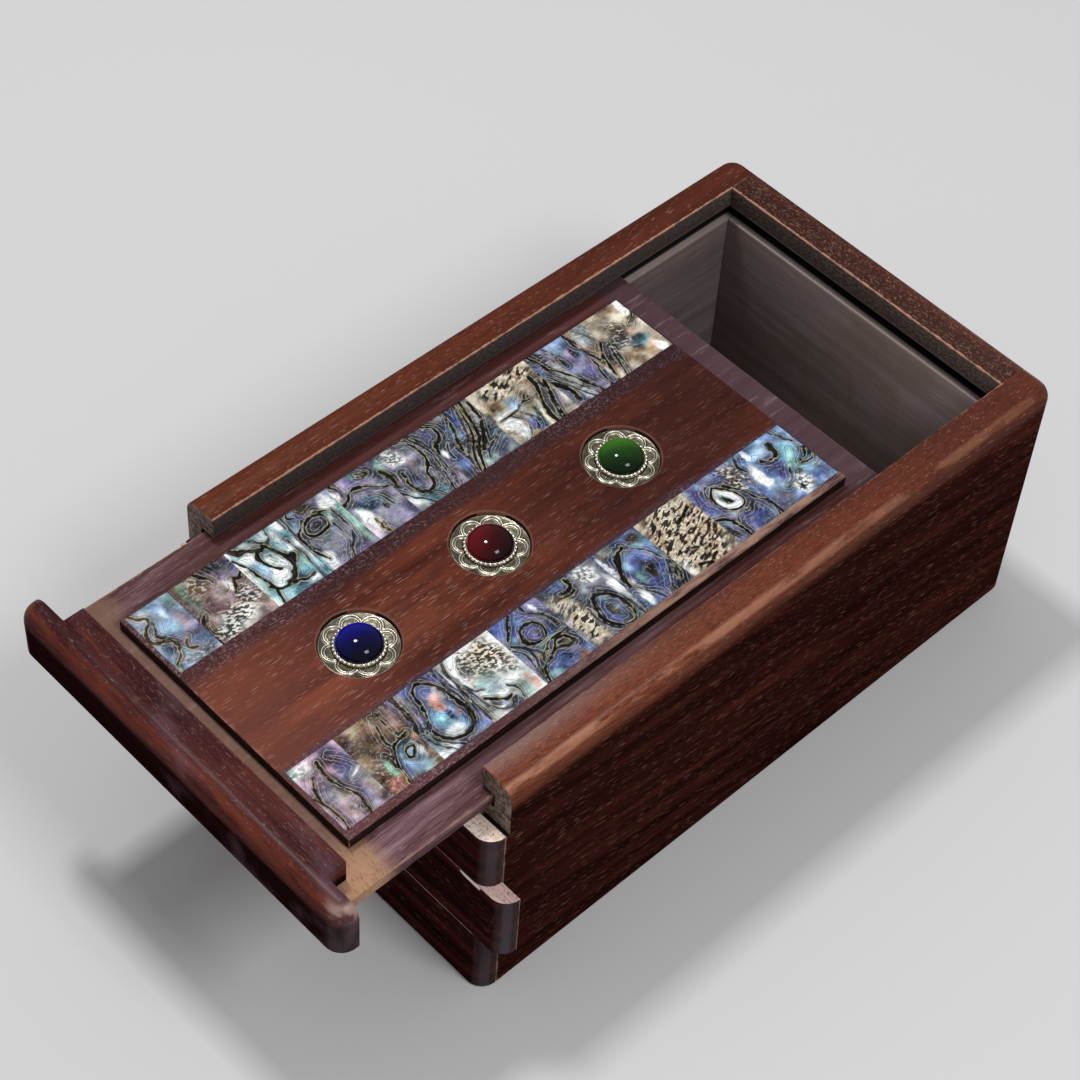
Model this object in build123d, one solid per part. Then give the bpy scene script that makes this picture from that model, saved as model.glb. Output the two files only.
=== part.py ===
from build123d import *
import os

# A sliding-lid puzzle box of dark rosewood with a sideways lock bar in its front.
# Millimetres, +Z up. X is the box's width and Y its length, from front to back.
# Every piece is drawn with the front face at Y = 0, the lid shut and the bar locked,
# then moved to its place in the open pose and centred over the footprint.

# Overall sizes of the shut box
box_width = 100.0
box_length = 170.0
box_height = 69.0

# Outer rounding
corner_radius = 4.2
rim_round = 4.0
base_round = 0.8

# Walls
side_wall = 8.8
back_wall = 9.5
inner_front_wall = 4.8
front_strip_thickness = 4.4

# Lip over the lid groove, from the rim down, and how deep the groove is cut into the walls
lip_height = 5.8
lid_groove_depth = 3.9

# Bottom board, let into a rebate under the walls and flush with them
bottom_thickness = 4.0
bottom_rebate = 3.0

# Front strips below the lid's rail, from the top down; the lower strip takes the rest
strip_drop_below_ledge = 3.9
upper_strip_height = 16.0
lock_bar_height = 19.3

# Sliding lid, and its play in the groove
lid_board_thickness = 3.0
lid_float = 0.3
lid_top_play = 0.7
lid_side_play = 0.6
lid_back_play = 0.8
lid_corner_radius = 1.0

# Lid's front rail
rail_extra_thickness = 0.8
rail_step_depth = 5.0
rail_under_gap = 0.6
rail_shut_gap = 0.2
rail_lip_gap = 0.8

# Raised panel on the lid, and its margins inside the lips and behind the rail
panel_thickness = 3.0
panel_side_margin = 5.8
panel_front_margin = 4.8
panel_back_margin = 4.8
panel_edge_chamfer = 0.25

# Two shell strips beside a plain centre field
centre_field_width = 32.2
shell_left_border = 0.5
shell_right_border = 2.0
shell_front_border = 1.0
shell_back_border = 0.5
shell_thickness = 1.0
shell_joint = 0.05

# How long each shell tile is against its neighbours, from front to back
left_tile_parts = (10.8, 14.8, 14.0, 13.2, 11.6, 13.6, 15.0, 17.5, 12.0, 16.9)
right_tile_parts = (12.1, 13.2, 13.2, 14.6, 13.2, 15.8, 12.7, 14.3, 13.2, 16.7)

# Three round settings, set by hand a little off the middle line
setting_names = ("front", "middle", "back")
setting_pitch = 37.7
setting_side_offsets = (0.8, -1.1, -0.4)
hole_depth = 2.0
hole_chamfer = 0.3
disc_diameter = 17.0
disc_thickness = 0.6
disc_play = 0.4
bezel_wall = 0.55
bezel_height = 1.2
cabochon_diameter = 10.0
cabochon_fit = 0.05
cabochon_girdle = 0.9
cabochon_dome = 3.1

# Lock bar: its throw, its tongues along both edges and its peg
lock_throw = 5.3
bar_clearance = 0.15
tongue_thickness = 1.6
tongue_height = 1.8
tongue_end_setback = 14.0
peg_diameter = 2.0
peg_clearance = 0.25
peg_root_depth = 8.0
peg_top_gap = 0.4
peg_front_offset = 2.3

# The pose that is drawn: lid pulled out, bar pushed across
lid_opening = 38.5

# Places that follow from the sizes
half_width = box_width / 2
inner_x = half_width - side_wall
back_y = box_length - back_wall
lip_z = box_height - lip_height
ledge_z = lip_z - lid_top_play - lid_board_thickness - lid_float
groove_x = inner_x + lid_groove_depth
groove_y = back_y + lid_groove_depth
inner_front_y = front_strip_thickness + inner_front_wall
upper_strip_top = ledge_z - strip_drop_below_ledge
bar_top = upper_strip_top - upper_strip_height
bar_bottom = bar_top - lock_bar_height
rail_thickness = front_strip_thickness + rail_extra_thickness
wall_end_y = rail_thickness + rail_shut_gap
lid_bottom = ledge_z + lid_float
lid_top = lid_bottom + lid_board_thickness
lid_half_width = groove_x - lid_side_play
lid_back_y = groove_y - lid_back_play
rail_bottom = upper_strip_top + rail_under_gap
rail_back_y = rail_thickness + rail_step_depth
panel_top = lid_top + panel_thickness
panel_half_width = inner_x - panel_side_margin
panel_front_y = rail_back_y + panel_front_margin
panel_back_y = back_y - panel_back_margin
panel_middle_y = (panel_front_y + panel_back_y) / 2
hole_radius = (disc_diameter + disc_play) / 2
peg_top = lid_bottom - peg_top_gap
peg_radius = peg_diameter / 2
over = 5.0


def block(x0, x1, y0, y1, z0, z1):
    """A squared block between two corners."""
    corner = (Align.MIN, Align.MIN, Align.MIN)
    return Pos(x0, y0, z0) * Box(x1 - x0, y1 - y0, z1 - z0, align=corner)


def pin(x, y, z0, z1, radius):
    """An upright round pin or hole."""
    return Pos(x, y, z0) * Cylinder(radius, z1 - z0, align=(Align.CENTER, Align.CENTER, Align.MIN))


def outer_form():
    """The whole shut box from outside: round corners, a big round on the rim, a small one below."""
    form = block(-half_width, half_width, 0, box_length, 0, box_height)
    form = fillet(form.edges().filter_by(Axis.Z), corner_radius)
    form = fillet(form.faces().sort_by(Axis.Z)[-1].edges(), rim_round)
    return fillet(form.faces().sort_by(Axis.Z)[0].edges(), base_round)


def lid_groove():
    """The space that the lid board's edges run in, on three sides."""
    return block(-groove_x, groove_x, 0, groove_y, ledge_z, lip_z)


def bottom_board():
    """The bottom, a thin board whose edges sit in a rebate under the walls."""
    reach = inner_x + bottom_rebate
    front = inner_front_y - bottom_rebate
    back = back_y + bottom_rebate
    return block(-reach, reach, front, back, 0, bottom_thickness)


def side_wall_piece(outer, side):
    """A side wall. Above the front strips its end is cut back for the lid's rail."""
    x0, x1 = sorted((side * inner_x, side * half_width))
    wall = outer & block(x0, x1, front_strip_thickness, box_length, 0, box_height)
    end = block(x0 - over, x1 + over, 0, wall_end_y, upper_strip_top, box_height + over)
    return wall - end - lid_groove() - bottom_board()


def back_wall_piece(outer):
    """The back wall, held between the side walls."""
    wall = outer & block(-inner_x, inner_x, back_y, box_length, 0, box_height)
    return wall - lid_groove() - bottom_board()


def inner_front_piece():
    """The wall behind the front strips, cut back at its top in line with the side walls' ends."""
    wall = block(-inner_x, inner_x, front_strip_thickness, inner_front_y, 0, ledge_z)
    step = block(-half_width, half_width, 0, wall_end_y, upper_strip_top, box_height)
    return wall - step - bottom_board()


def bar_tongues(extra, travel):
    """The two tongues along the bar, or with room and travel added, the grooves for them."""
    reach = half_width - tongue_end_setback + extra
    middle = front_strip_thickness / 2
    thick = tongue_thickness / 2 + extra
    high = tongue_height + extra
    return block(-reach, reach + travel, middle - thick, middle + thick, bar_bottom - high, bar_top + high)


def peg_slot(z0, z1):
    """An upright slot that lets the peg travel from locked to free."""
    radius = peg_radius + peg_clearance
    ends = pin(0, peg_front_offset, z0, z1, radius) + pin(lock_throw, peg_front_offset, z0, z1, radius)
    middle = block(0, lock_throw, peg_front_offset - radius, peg_front_offset + radius, z0, z1)
    return ends + middle


def upper_strip(outer):
    """The fixed strip above the bar, grooved for its tongue and slotted for its peg."""
    strip = outer & block(-half_width, half_width, 0, front_strip_thickness, bar_top, upper_strip_top)
    grooved = strip - bar_tongues(bar_clearance, lock_throw)
    return grooved - peg_slot(bar_top - over, upper_strip_top + over)


def lower_strip(outer):
    """The fixed strip below the bar, down to the table."""
    strip = outer & block(-half_width, half_width, 0, front_strip_thickness, 0, bar_bottom)
    return strip - bar_tongues(bar_clearance, lock_throw)


def peg():
    """The pin that stands in the bar and reaches up into the lid's rail."""
    return pin(0, peg_front_offset, bar_top - peg_root_depth, peg_top, peg_radius)


def bar(outer):
    """The sliding lock bar, full width when locked."""
    back = front_strip_thickness - bar_clearance
    body = block(-half_width, half_width, 0, back, bar_bottom + bar_clearance, bar_top - bar_clearance)
    return (outer & body) + bar_tongues(0, 0) - peg()


def lid_board_piece():
    """The thin board that runs in the grooves."""
    board = block(-lid_half_width, lid_half_width, rail_thickness, lid_back_y, lid_bottom, lid_top)
    back_corners = board.edges().filter_by(Axis.Z).group_by(Axis.Y)[-1]
    return fillet(back_corners, lid_corner_radius)


def lid_rail(outer):
    """The lid's front rail: a full-width strip, a raised step on the board, and the peg's track."""
    strip = outer & block(-half_width, half_width, 0, rail_thickness, rail_bottom, box_height)
    step_x = inner_x - rail_lip_gap
    step = block(-step_x, step_x, rail_thickness, rail_back_y, lid_top, box_height)
    track_top = peg_top + peg_clearance
    across = peg_slot(rail_bottom - over, track_top)
    reach = peg_radius + peg_clearance
    out = block(lock_throw - reach, lock_throw + reach, peg_front_offset, rail_thickness + over,
                rail_bottom - over, track_top)
    return strip + step - across - out


def setting_centres():
    """Middle of each of the three settings, from front to back."""
    places = []
    for number, offset in enumerate(setting_side_offsets):
        places.append((offset, panel_middle_y + (number - 1) * setting_pitch))
    return places


def shell_field(side):
    """Left and right edges of one shell strip."""
    field = 2 * panel_half_width - centre_field_width - shell_left_border - shell_right_border
    strip = field / 2
    if side < 0:
        start = -panel_half_width + shell_left_border
    else:
        start = panel_half_width - shell_right_border - strip
    return start, start + strip


def panel():
    """The raised panel, pocketed for the shell and bored for the settings."""
    board = block(-panel_half_width, panel_half_width, panel_front_y, panel_back_y, lid_top, panel_top)
    board = chamfer(board.faces().sort_by(Axis.Z)[-1].edges(), panel_edge_chamfer)
    for side in (-1, 1):
        x0, x1 = shell_field(side)
        front = panel_front_y + shell_front_border
        back = panel_back_y - shell_back_border
        board -= block(x0, x1, front, back, panel_top - shell_thickness, panel_top + over)
    for x, y in setting_centres():
        board -= pin(x, y, panel_top - hole_depth, panel_top + over, hole_radius)
        rim = Cone(hole_radius, hole_radius + hole_chamfer, hole_chamfer,
                   align=(Align.CENTER, Align.CENTER, Align.MAX))
        board -= Pos(x, y, panel_top) * rim
    return board


def shell_tiles(side, parts):
    """One strip of shell tiles, cut to unequal lengths that fill the strip."""
    x0, x1 = shell_field(side)
    front = panel_front_y + shell_front_border
    length = panel_back_y - shell_back_border - front
    tiles = []
    start = front
    for share in parts:
        end = start + length * share / sum(parts)
        tiles.append(block(x0, x1, start + shell_joint / 2, end - shell_joint / 2,
                           panel_top - shell_thickness, panel_top))
        start = end
    return tiles


def flower_disc(x, y):
    """The thin stamped disc on the floor of a hole."""
    floor = panel_top - hole_depth
    return pin(x, y, floor, floor + disc_thickness, disc_diameter / 2)


def beaded_bezel(x, y):
    """The collar that holds a cabochon on its disc."""
    seat = panel_top - hole_depth + disc_thickness
    inside = cabochon_diameter / 2 + cabochon_fit
    ring = pin(x, y, seat, seat + bezel_height, inside + bezel_wall)
    return ring - pin(x, y, seat, seat + bezel_height, inside)


def cabochon(x, y):
    """A round stone: flat below, a straight girdle, and a domed top."""
    seat = panel_top - hole_depth + disc_thickness
    radius = cabochon_diameter / 2
    shoulder = (radius, cabochon_girdle)
    crown = (0, cabochon_girdle + cabochon_dome)
    ball = (radius ** 2 + cabochon_dome ** 2) / (2 * cabochon_dome)
    half = RadiusArc(shoulder, crown, -ball)
    outline = Polyline(crown, (0, 0), (radius, 0), shoulder) + half
    face = Plane.XZ * make_face(outline)
    return Pos(x, y, seat) * revolve(face, Axis.Z)


def save(name, shape, slide=(0, 0)):
    """Moves a piece to its place in the open pose and writes it."""
    placed = Pos(slide[0], slide[1] - box_length / 2, 0) * shape
    export_step(placed, "parts/" + name + ".step")


os.makedirs("parts", exist_ok=True)
outer = outer_form()

save("left_wall", side_wall_piece(outer, -1))
save("right_wall", side_wall_piece(outer, 1))
save("back_wall", back_wall_piece(outer))
save("inner_front_wall", inner_front_piece())
save("bottom_board", bottom_board())
save("front_upper_strip", upper_strip(outer))
save("front_lower_strip", lower_strip(outer))

unlocked = (lock_throw, 0)
save("lock_bar", bar(outer), unlocked)
save("lock_peg", peg(), unlocked)

opened = (0, -lid_opening)
save("lid_board", lid_board_piece(), opened)
save("lid_front_rail", lid_rail(outer), opened)
save("raised_panel", panel(), opened)

for number, tile in enumerate(shell_tiles(-1, left_tile_parts), 1):
    save(f"left_shell_tile_{number}", tile, opened)
for number, tile in enumerate(shell_tiles(1, right_tile_parts), 1):
    save(f"right_shell_tile_{number}", tile, opened)

for name, (x, y) in zip(setting_names, setting_centres()):
    save(name + "_flower_disc", flower_disc(x, y), opened)
    save(name + "_beaded_bezel", beaded_bezel(x, y), opened)
    save(name + "_cabochon", cabochon(x, y), opened)
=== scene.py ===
import math

import bmesh
import bpy
import numpy as np
from mathutils import Matrix, Vector


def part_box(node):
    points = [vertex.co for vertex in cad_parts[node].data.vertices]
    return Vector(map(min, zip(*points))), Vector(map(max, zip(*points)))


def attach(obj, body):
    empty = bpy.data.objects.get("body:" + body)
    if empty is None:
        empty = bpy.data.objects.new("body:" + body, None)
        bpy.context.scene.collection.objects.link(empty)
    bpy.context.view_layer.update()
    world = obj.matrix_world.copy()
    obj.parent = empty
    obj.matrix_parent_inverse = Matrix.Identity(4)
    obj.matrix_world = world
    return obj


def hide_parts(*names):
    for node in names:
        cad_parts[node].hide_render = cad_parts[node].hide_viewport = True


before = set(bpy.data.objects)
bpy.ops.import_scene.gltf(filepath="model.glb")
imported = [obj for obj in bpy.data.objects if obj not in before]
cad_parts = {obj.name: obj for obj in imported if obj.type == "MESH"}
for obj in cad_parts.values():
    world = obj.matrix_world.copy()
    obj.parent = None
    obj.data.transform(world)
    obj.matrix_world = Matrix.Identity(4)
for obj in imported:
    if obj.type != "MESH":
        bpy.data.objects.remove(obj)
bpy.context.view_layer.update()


# Bottom board. A thin plain board of grey-brown hardwood, glued into a rebate under the walls.
# It is left unfinished, like everything inside the box, and has gone dull with handling.
mm = 0.001


def tone(code):
    """A colour as it looks, written as six hex digits, in the linear numbers that a shader wants."""
    parts = [int(code[i:i + 2], 16) / 255 for i in (0, 2, 4)]
    return tuple(p / 12.92 if p < 0.04045 else ((p + 0.055) / 1.055) ** 2.4 for p in parts) + (1.0,)


def plug(tree, node, sockets):
    """Links every socket that is given another node's output, and sets the others to their value."""
    for key, value in sockets.items():
        if isinstance(value, bpy.types.NodeSocket):
            tree.links.new(value, node.inputs[key])
        else:
            node.inputs[key].default_value = value


def add(tree, kind, sockets=None, **settings):
    """Adds a node with its settings and its sockets."""
    node = tree.nodes.new("ShaderNode" + kind)
    for key, value in settings.items():
        setattr(node, key, value)
    plug(tree, node, sockets or {})
    return node


def calc(tree, operation, *terms):
    """A sum in the shader, such as MAXIMUM of two values."""
    return add(tree, "Math", dict(enumerate(terms)), operation=operation).outputs[0]


def product(tree, *terms):
    """Several values multiplied together."""
    total = terms[0]
    for term in terms[1:]:
        total = calc(tree, "MULTIPLY", total, term)
    return total


def scaled(tree, value, by, plus):
    """A value times one number, plus another."""
    return calc(tree, "MULTIPLY_ADD", value, by, plus)


def sway(tree, value, variation, swing):
    """A value moved to and fro by a variation that lies between 0 and 1."""
    return scaled(tree, calc(tree, "SUBTRACT", variation, 0.5), swing, value)


def vector(tree, operation, *terms):
    """A sum of vectors in the shader."""
    return add(tree, "VectorMath", dict(enumerate(terms)), operation=operation).outputs[0]


def split(tree, place):
    """The three parts of a place."""
    return add(tree, "SeparateXYZ", {0: place}).outputs


def fade(tree, value, start, end):
    """0 before start and 1 after end, smooth between. With start above end it falls instead."""
    sockets = {"Value": value, "From Min": start, "From Max": end}
    return add(tree, "MapRange", sockets, interpolation_type="SMOOTHSTEP").outputs["Result"]


def fade_at(tree, place, edge, start, end):
    """The same along one axis, with start and end in mm past an edge."""
    return fade(tree, place, edge + start * mm, edge + end * mm)


def blend(tree, share, first, second):
    """Lays the second colour over the first by that share."""
    return add(tree, "Mix", {0: share, 6: first, 7: second}, data_type="RGBA").outputs[2]


def lay(tree, colour, code, *shares):
    """Lays a tone over the colour by the product of the shares."""
    return blend(tree, product(tree, *shares), colour, tone(code))


def mottle(tree, place, scale, detail=3.0, roughness=0.5, kind="Fac"):
    """Cloudy variation between 0 and 1, or a random colour."""
    sockets = {"Vector": place, "Scale": scale, "Detail": detail, "Roughness": roughness}
    return add(tree, "TexNoise", sockets).outputs[kind]


def streaks(tree, place, stretch, *settings, **choice):
    """Cloudy variation with a scale of its own along each axis."""
    return mottle(tree, vector(tree, "MULTIPLY", place, stretch), 1.0, *settings, **choice)


def shades(tree, value, stops):
    """Colours along a value, as pairs of place and colour."""
    node = add(tree, "ValToRGB", {"Fac": value})
    bar = node.color_ramp
    while len(bar.elements) < len(stops):
        bar.elements.new(0.5)
    for element, (place, code) in zip(bar.elements, stops):
        element.position = place
        element.color = tone(code)
    return node.outputs["Color"]


def bumps(tree, height, depth, strength):
    """The normal of a surface with fine bumps of that depth."""
    return add(tree, "Bump", {"Height": height, "Distance": depth, "Strength": strength}).outputs[0]


def new_material(name):
    """A material, its tree of nodes, and the place of every point on the piece."""
    material = bpy.data.materials.new(name)
    material.use_nodes = True
    tree = material.node_tree
    return material, tree, add(tree, "TexCoord").outputs["Object"]


def shader_group(name, inputs, outputs):
    """An empty node group with named sockets, and its inside ends."""
    tree = bpy.data.node_groups.new(name, "ShaderNodeTree")
    for label, kind, value in inputs:
        socket = tree.interface.new_socket(name=label, in_out="INPUT", socket_type="NodeSocket" + kind)
        socket.default_value = value
    for label in outputs:
        tree.interface.new_socket(name=label, in_out="OUTPUT", socket_type="NodeSocketFloat")
    return tree, tree.nodes.new("NodeGroupInput").outputs, tree.nodes.new("NodeGroupOutput")


def wood_figure():
    """Group: the figure of open-pored wood whose grain runs along Y, for a place in metres."""
    inputs = [("Place", "Vector", (0, 0, 0)), ("Seed", "Float", 0.0), ("Pore Share", "Float", 0.8),
              ("Pore Size", "Float", 0.10)]
    tree, given, made = shader_group("wood_figure", inputs, ["Bands", "Fibres", "Pores"])
    seed = given["Seed"]
    shift = add(tree, "CombineXYZ", {"X": seed, "Y": seed, "Z": seed}).outputs[0]
    place = vector(tree, "MULTIPLY", given["Place"], (1000, 1000, 1000))
    place = vector(tree, "ADD", place, vector(tree, "MULTIPLY", shift, (13.7, 29.3, 7.9)))
    wander = streaks(tree, place, (0.05, 0.01, 0.05), 1.0, kind="Color")
    wander = vector(tree, "MULTIPLY", vector(tree, "SUBTRACT", wander, (0.5, 0.5, 0.5)), (5, 0, 5))
    place = vector(tree, "ADD", place, wander)
    bands = streaks(tree, place, (0.32, 0.018, 0.32), 4.0, 0.6)
    fibres = streaks(tree, place, (3.2, 0.1, 3.2), 3.0, 0.65)
    layers = []
    for width, length, turn in ((0.36, 6.8, 0.0), (0.28, 4.6, 5.0)):
        stretched = vector(tree, "MULTIPLY", place, (1 / width, 1 / length, 1 / width))
        stretched = vector(tree, "ADD", stretched, (turn, turn, turn))
        spot = add(tree, "TexVoronoi", {"Vector": stretched, "Scale": 1.0})
        rank = add(tree, "SeparateColor", {"Color": spot.outputs["Color"]})
        size = scaled(tree, rank.outputs["Green"], 0.12, given["Pore Size"])
        inside = calc(tree, "SUBTRACT", size, spot.outputs["Distance"])
        there = calc(tree, "LESS_THAN", rank.outputs["Red"], given["Pore Share"])
        layers.append(product(tree, fade(tree, inside, 0.0, 0.1), there))
    plug(tree, made, {"Bands": bands, "Fibres": fibres, "Pores": calc(tree, "MAXIMUM", *layers)})
    return tree


def edge_rub():
    """Group: how far a place is rubbed, from its distance to the nearest edge of a squared piece."""
    inputs = [("Place", "Vector", (0, 0, 0)), ("Low", "Vector", (0, 0, 0)), ("High", "Vector", (1, 1, 1)),
              ("Reach", "Float", 1.0), ("Unevenness", "Float", 1.0)]
    tree, given, made = shader_group("edge_rub", inputs, ["Rub"])
    from_low = vector(tree, "SUBTRACT", given["Place"], given["Low"])
    to_high = vector(tree, "SUBTRACT", given["High"], given["Place"])
    x, y, z = split(tree, vector(tree, "MINIMUM", from_low, to_high))
    lesser, greater = calc(tree, "MINIMUM", x, y), calc(tree, "MAXIMUM", x, y)
    second = calc(tree, "MAXIMUM", lesser, calc(tree, "MINIMUM", greater, z))
    distance = calc(tree, "DIVIDE", product(tree, second, 1000), given["Reach"])
    cloud = calc(tree, "SUBTRACT", mottle(tree, given["Place"], 300.0, 4.0, 0.7), 0.5)
    reached = calc(tree, "ADD", distance, product(tree, cloud, given["Unevenness"], 3.0))
    plug(tree, made, {"Rub": fade(tree, reached, 1.0, 0.1)})
    return tree


wood_figure_group = wood_figure()
edge_rub_group = edge_rub()


def along(tree, place, grain, lean):
    """Turns a place so that the piece's grain runs along Y. A leaning grain dips towards the back."""
    if grain == "Y":
        turned = {"Vector": place, "Angle": math.radians(lean)}
        return add(tree, "VectorRotate", turned, rotation_type="X_AXIS").outputs[0]
    x, y, z = split(tree, place)
    order = {"X": (y, x, z), "Z": (x, z, y)}[grain]
    return add(tree, "CombineXYZ", dict(enumerate(order))).outputs[0]


def wood(name, node, grain, tones, pore, seed, rub=None, reach=0.8, unevenness=1.0, matt=0.5, share=0.8,
         pore_size=0.10, shine=0.15, lean=0.0, local=None, polish=None):
    """Open-pored wood for one piece: its figure, its pores, its rubbed edges and what is local to it."""
    material, tree, place = new_material(name)
    sockets = {"Place": along(tree, place, grain, lean), "Seed": seed, "Pore Share": share,
               "Pore Size": pore_size}
    figure = add(tree, "Group", sockets, node_tree=wood_figure_group)
    bands, fibres, pores = (figure.outputs[key] for key in ("Bands", "Fibres", "Pores"))
    body = sway(tree, bands, fibres, 0.55)
    colour = shades(tree, body, list(zip((0.28, 0.45, 0.58, 0.74), tones)))
    colour = lay(tree, colour, pore, pores, 0.7)
    if rub:
        low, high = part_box(node)
        sockets = {"Place": place, "Low": low, "High": high, "Reach": reach, "Unevenness": unevenness}
        worn = add(tree, "Group", sockets, node_tree=edge_rub_group).outputs["Rub"]
        colour = lay(tree, colour, rub, worn, 0.8)
    if local:
        colour = local(tree, place, colour, figure)
    height = scaled(tree, pores, -0.6, product(tree, fibres, 0.5))
    plug(tree, tree.nodes["Principled BSDF"], {
        "Base Color": colour,
        "Roughness": scaled(tree, pores, 0.25, scaled(tree, bands, 0.22, matt - 0.11)),
        "Specular IOR Level": shine,
        "Coat Weight": polish(tree, place) if polish else 0.0,
        "Coat Roughness": 0.3,
        "Normal": bumps(tree, height, 0.12 * mm, 0.6),
    })
    return material


def placed(name, data):
    """A new object in the scene."""
    made = bpy.data.objects.new(name, data)
    bpy.context.collection.objects.link(made)
    return made


def eased(name, node, bevel, faces=None):
    """The CAD piece as a woodworker leaves it: its square edges eased, and its faces sorted by finish."""
    form = bmesh.new()
    form.from_mesh(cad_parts[node].data)
    bmesh.ops.remove_doubles(form, verts=form.verts, dist=0.002 * mm)
    bmesh.ops.dissolve_limit(form, angle_limit=math.radians(1), verts=form.verts, edges=form.edges)
    for face in form.faces:
        face.smooth = True
        face.material_index = faces(face.calc_center_median(), face.normal) if faces else 0
    mesh = bpy.data.meshes.new(name)
    form.to_mesh(mesh)
    form.free()
    piece = placed(name, mesh)
    ease = piece.modifiers.new("eased edges", "BEVEL")
    ease.width = bevel * mm
    ease.segments = 2
    ease.limit_method = "ANGLE"
    ease.angle_limit = math.radians(32)
    ease.harden_normals = True
    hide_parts(node)
    return piece


def finish(piece, body, slot, *materials):
    """Gives a piece its materials and the body it rides on; its slot is not used."""
    for material in materials:
        piece.data.materials.append(material)
    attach(piece, body)


bare_tones = ("645650", "73645c", "82716a", "907f76")
bare_pore = "a8988f"

bottom = eased("plain_bottom_board", "bottom_board", bevel=0.2)
finish(bottom, "box", "inner_wood",
       wood("bare_bottom", "bottom_board", "Y", bare_tones, bare_pore, seed=3.1, matt=0.7))


# Side and back walls. Three thick boards of dark rosewood, glued at the back corners, with a rounded rim,
# a lip, and a groove and ledge below it for the lid. Outside they are oiled and the rim is rubbed to a
# warm orange brown, partly painted light on its top, with a painted highlight on its round; inside they
# are bare and grey, with painted shadow in the groove and painted light on the ledge and the back wall.
lip_height = 5.8 * mm
groove_height = 4.0 * mm
slack = 0.1 * mm
wall_tones = ("1c0b09", "28120f", "361813", "47221a")
wall_pore = "99705f"
rim_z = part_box("left_wall")[1].z
lip_under_z = rim_z - lip_height
ledge_z = lip_under_z - groove_height
inner_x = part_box("back_wall")[1].x
inner_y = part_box("back_wall")[0].y
wall_front_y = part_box("left_wall")[0].y


def wall_face(centre, normal):
    """0 for the oiled outside, 1 for the bare inside and the groove, 2 for a cut front end."""
    if normal.y < -0.9 and centre.y < wall_front_y + 2 * mm:
        return 2
    within = abs(centre.x) < inner_x + 5 * mm and centre.y < inner_y + 5 * mm
    if within and centre.z < rim_z - slack and (abs(normal.z) < 0.5 or centre.z < lip_under_z + slack):
        return 1
    return 0


def inner_depth(tree, x, y):
    """How far a place lies inside the wood, back from the walls' inner faces."""
    side = calc(tree, "SUBTRACT", calc(tree, "ABSOLUTE", x), inner_x)
    return calc(tree, "MAXIMUM", side, calc(tree, "SUBTRACT", y, inner_y))


def lip_arris(tree, place, colour):
    """The lip's top edge is rubbed to bare pinkish wood along the left and the back."""
    x, y, z = split(tree, place)
    off_edge = calc(tree, "MAXIMUM", inner_depth(tree, x, y), calc(tree, "SUBTRACT", rim_z, z))
    ragged = mottle(tree, place, 420.0, 4.0, 0.7)
    off_edge = sway(tree, off_edge, ragged, 1.3 * mm)
    rubbed_sides = calc(tree, "MAXIMUM", fade_at(tree, x, 0, 20, 0), fade_at(tree, y, inner_y, -8, -2))
    return lay(tree, colour, "c49179", fade_at(tree, off_edge, 0, 0.48, 0.12), rubbed_sides, 0.75)


def rim_warmth(tree, place, colour, figure):
    """The rim is handled most, so its oil has worn through to a warmer brown, palest on the round. Its
    lighter top, right side and front are partly painted light, and the pale band on the round is a painted
    highlight.
    """
    x, y, z = split(tree, place)
    streak = fade(tree, figure.outputs["Fibres"], 0.38, 0.60)
    cloud = streaks(tree, place, (260, 60, 260), 4.0, 0.65)
    lit_and_handled_side = fade_at(tree, x, 0, -10, 30)
    # Warmer and lighter on the rim's top, at the right and towards the front: worn oil, and partly painted
    # light.
    height = fade_at(tree, scaled(tree, cloud, 4 * mm, z), rim_z, -5, 0.5)
    to_the_front = fade(tree, y, inner_y, wall_front_y)
    off_lip = fade_at(tree, inner_depth(tree, x, y), 0, 0.2, 2.6)
    colour = lay(tree, colour, "834428", height, scaled(tree, streak, 0.5, 0.25),
                 scaled(tree, lit_and_handled_side, 0.45, 0.55), scaled(tree, to_the_front, 0.7, 0.3),
                 scaled(tree, off_lip, 0.5, 0.5))
    colour = lay(tree, colour, "a05a48", height, 0.12)
    # Painted highlight: a pale band along the rim's rounded edge.
    painted_round_highlight = product(tree, fade_at(tree, z, rim_z, -2, -1.2), fade_at(tree, z, rim_z, -0.15, -0.6))
    colour = lay(tree, colour, "c58c70", painted_round_highlight, fade(tree, cloud, 0.36, 0.58), lit_and_handled_side,
                 scaled(tree, to_the_front, 0.45, 0.2))
    colour = lay(tree, colour, "b98c7c", figure.outputs["Pores"], height, 0.35)
    return lip_arris(tree, place, colour)


def rim_polish(tree, place):
    """Hands have polished the right rim most; the faces below the rims are dull."""
    parts = split(tree, place)
    share = scaled(tree, fade_at(tree, parts["X"], 0, -10, 30), 0.16, 0.03)
    return product(tree, fade_at(tree, parts["Z"], rim_z, -6, -2), share)


def dusty_rim(tree, place, colour, figure):
    """The back rim is darker, with dust and pale specks in its rough grain."""
    colour = rim_warmth(tree, place, colour, figure)
    x, y, z = split(tree, place)
    top = fade_at(tree, z, rim_z, -3, -0.5)
    inner_half = fade_at(tree, inner_depth(tree, x, y), 0, 6.5, 4)
    colour = lay(tree, colour, "33211f", top, scaled(tree, inner_half, 0.4, 0.3))
    speck = fade(tree, streaks(tree, place, (1500, 2600, 2600), 3.0, 0.75), 0.54, 0.66)
    colour = lay(tree, colour, "a48c78", speck, top, 0.45)
    return lip_arris(tree, place, colour)


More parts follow.
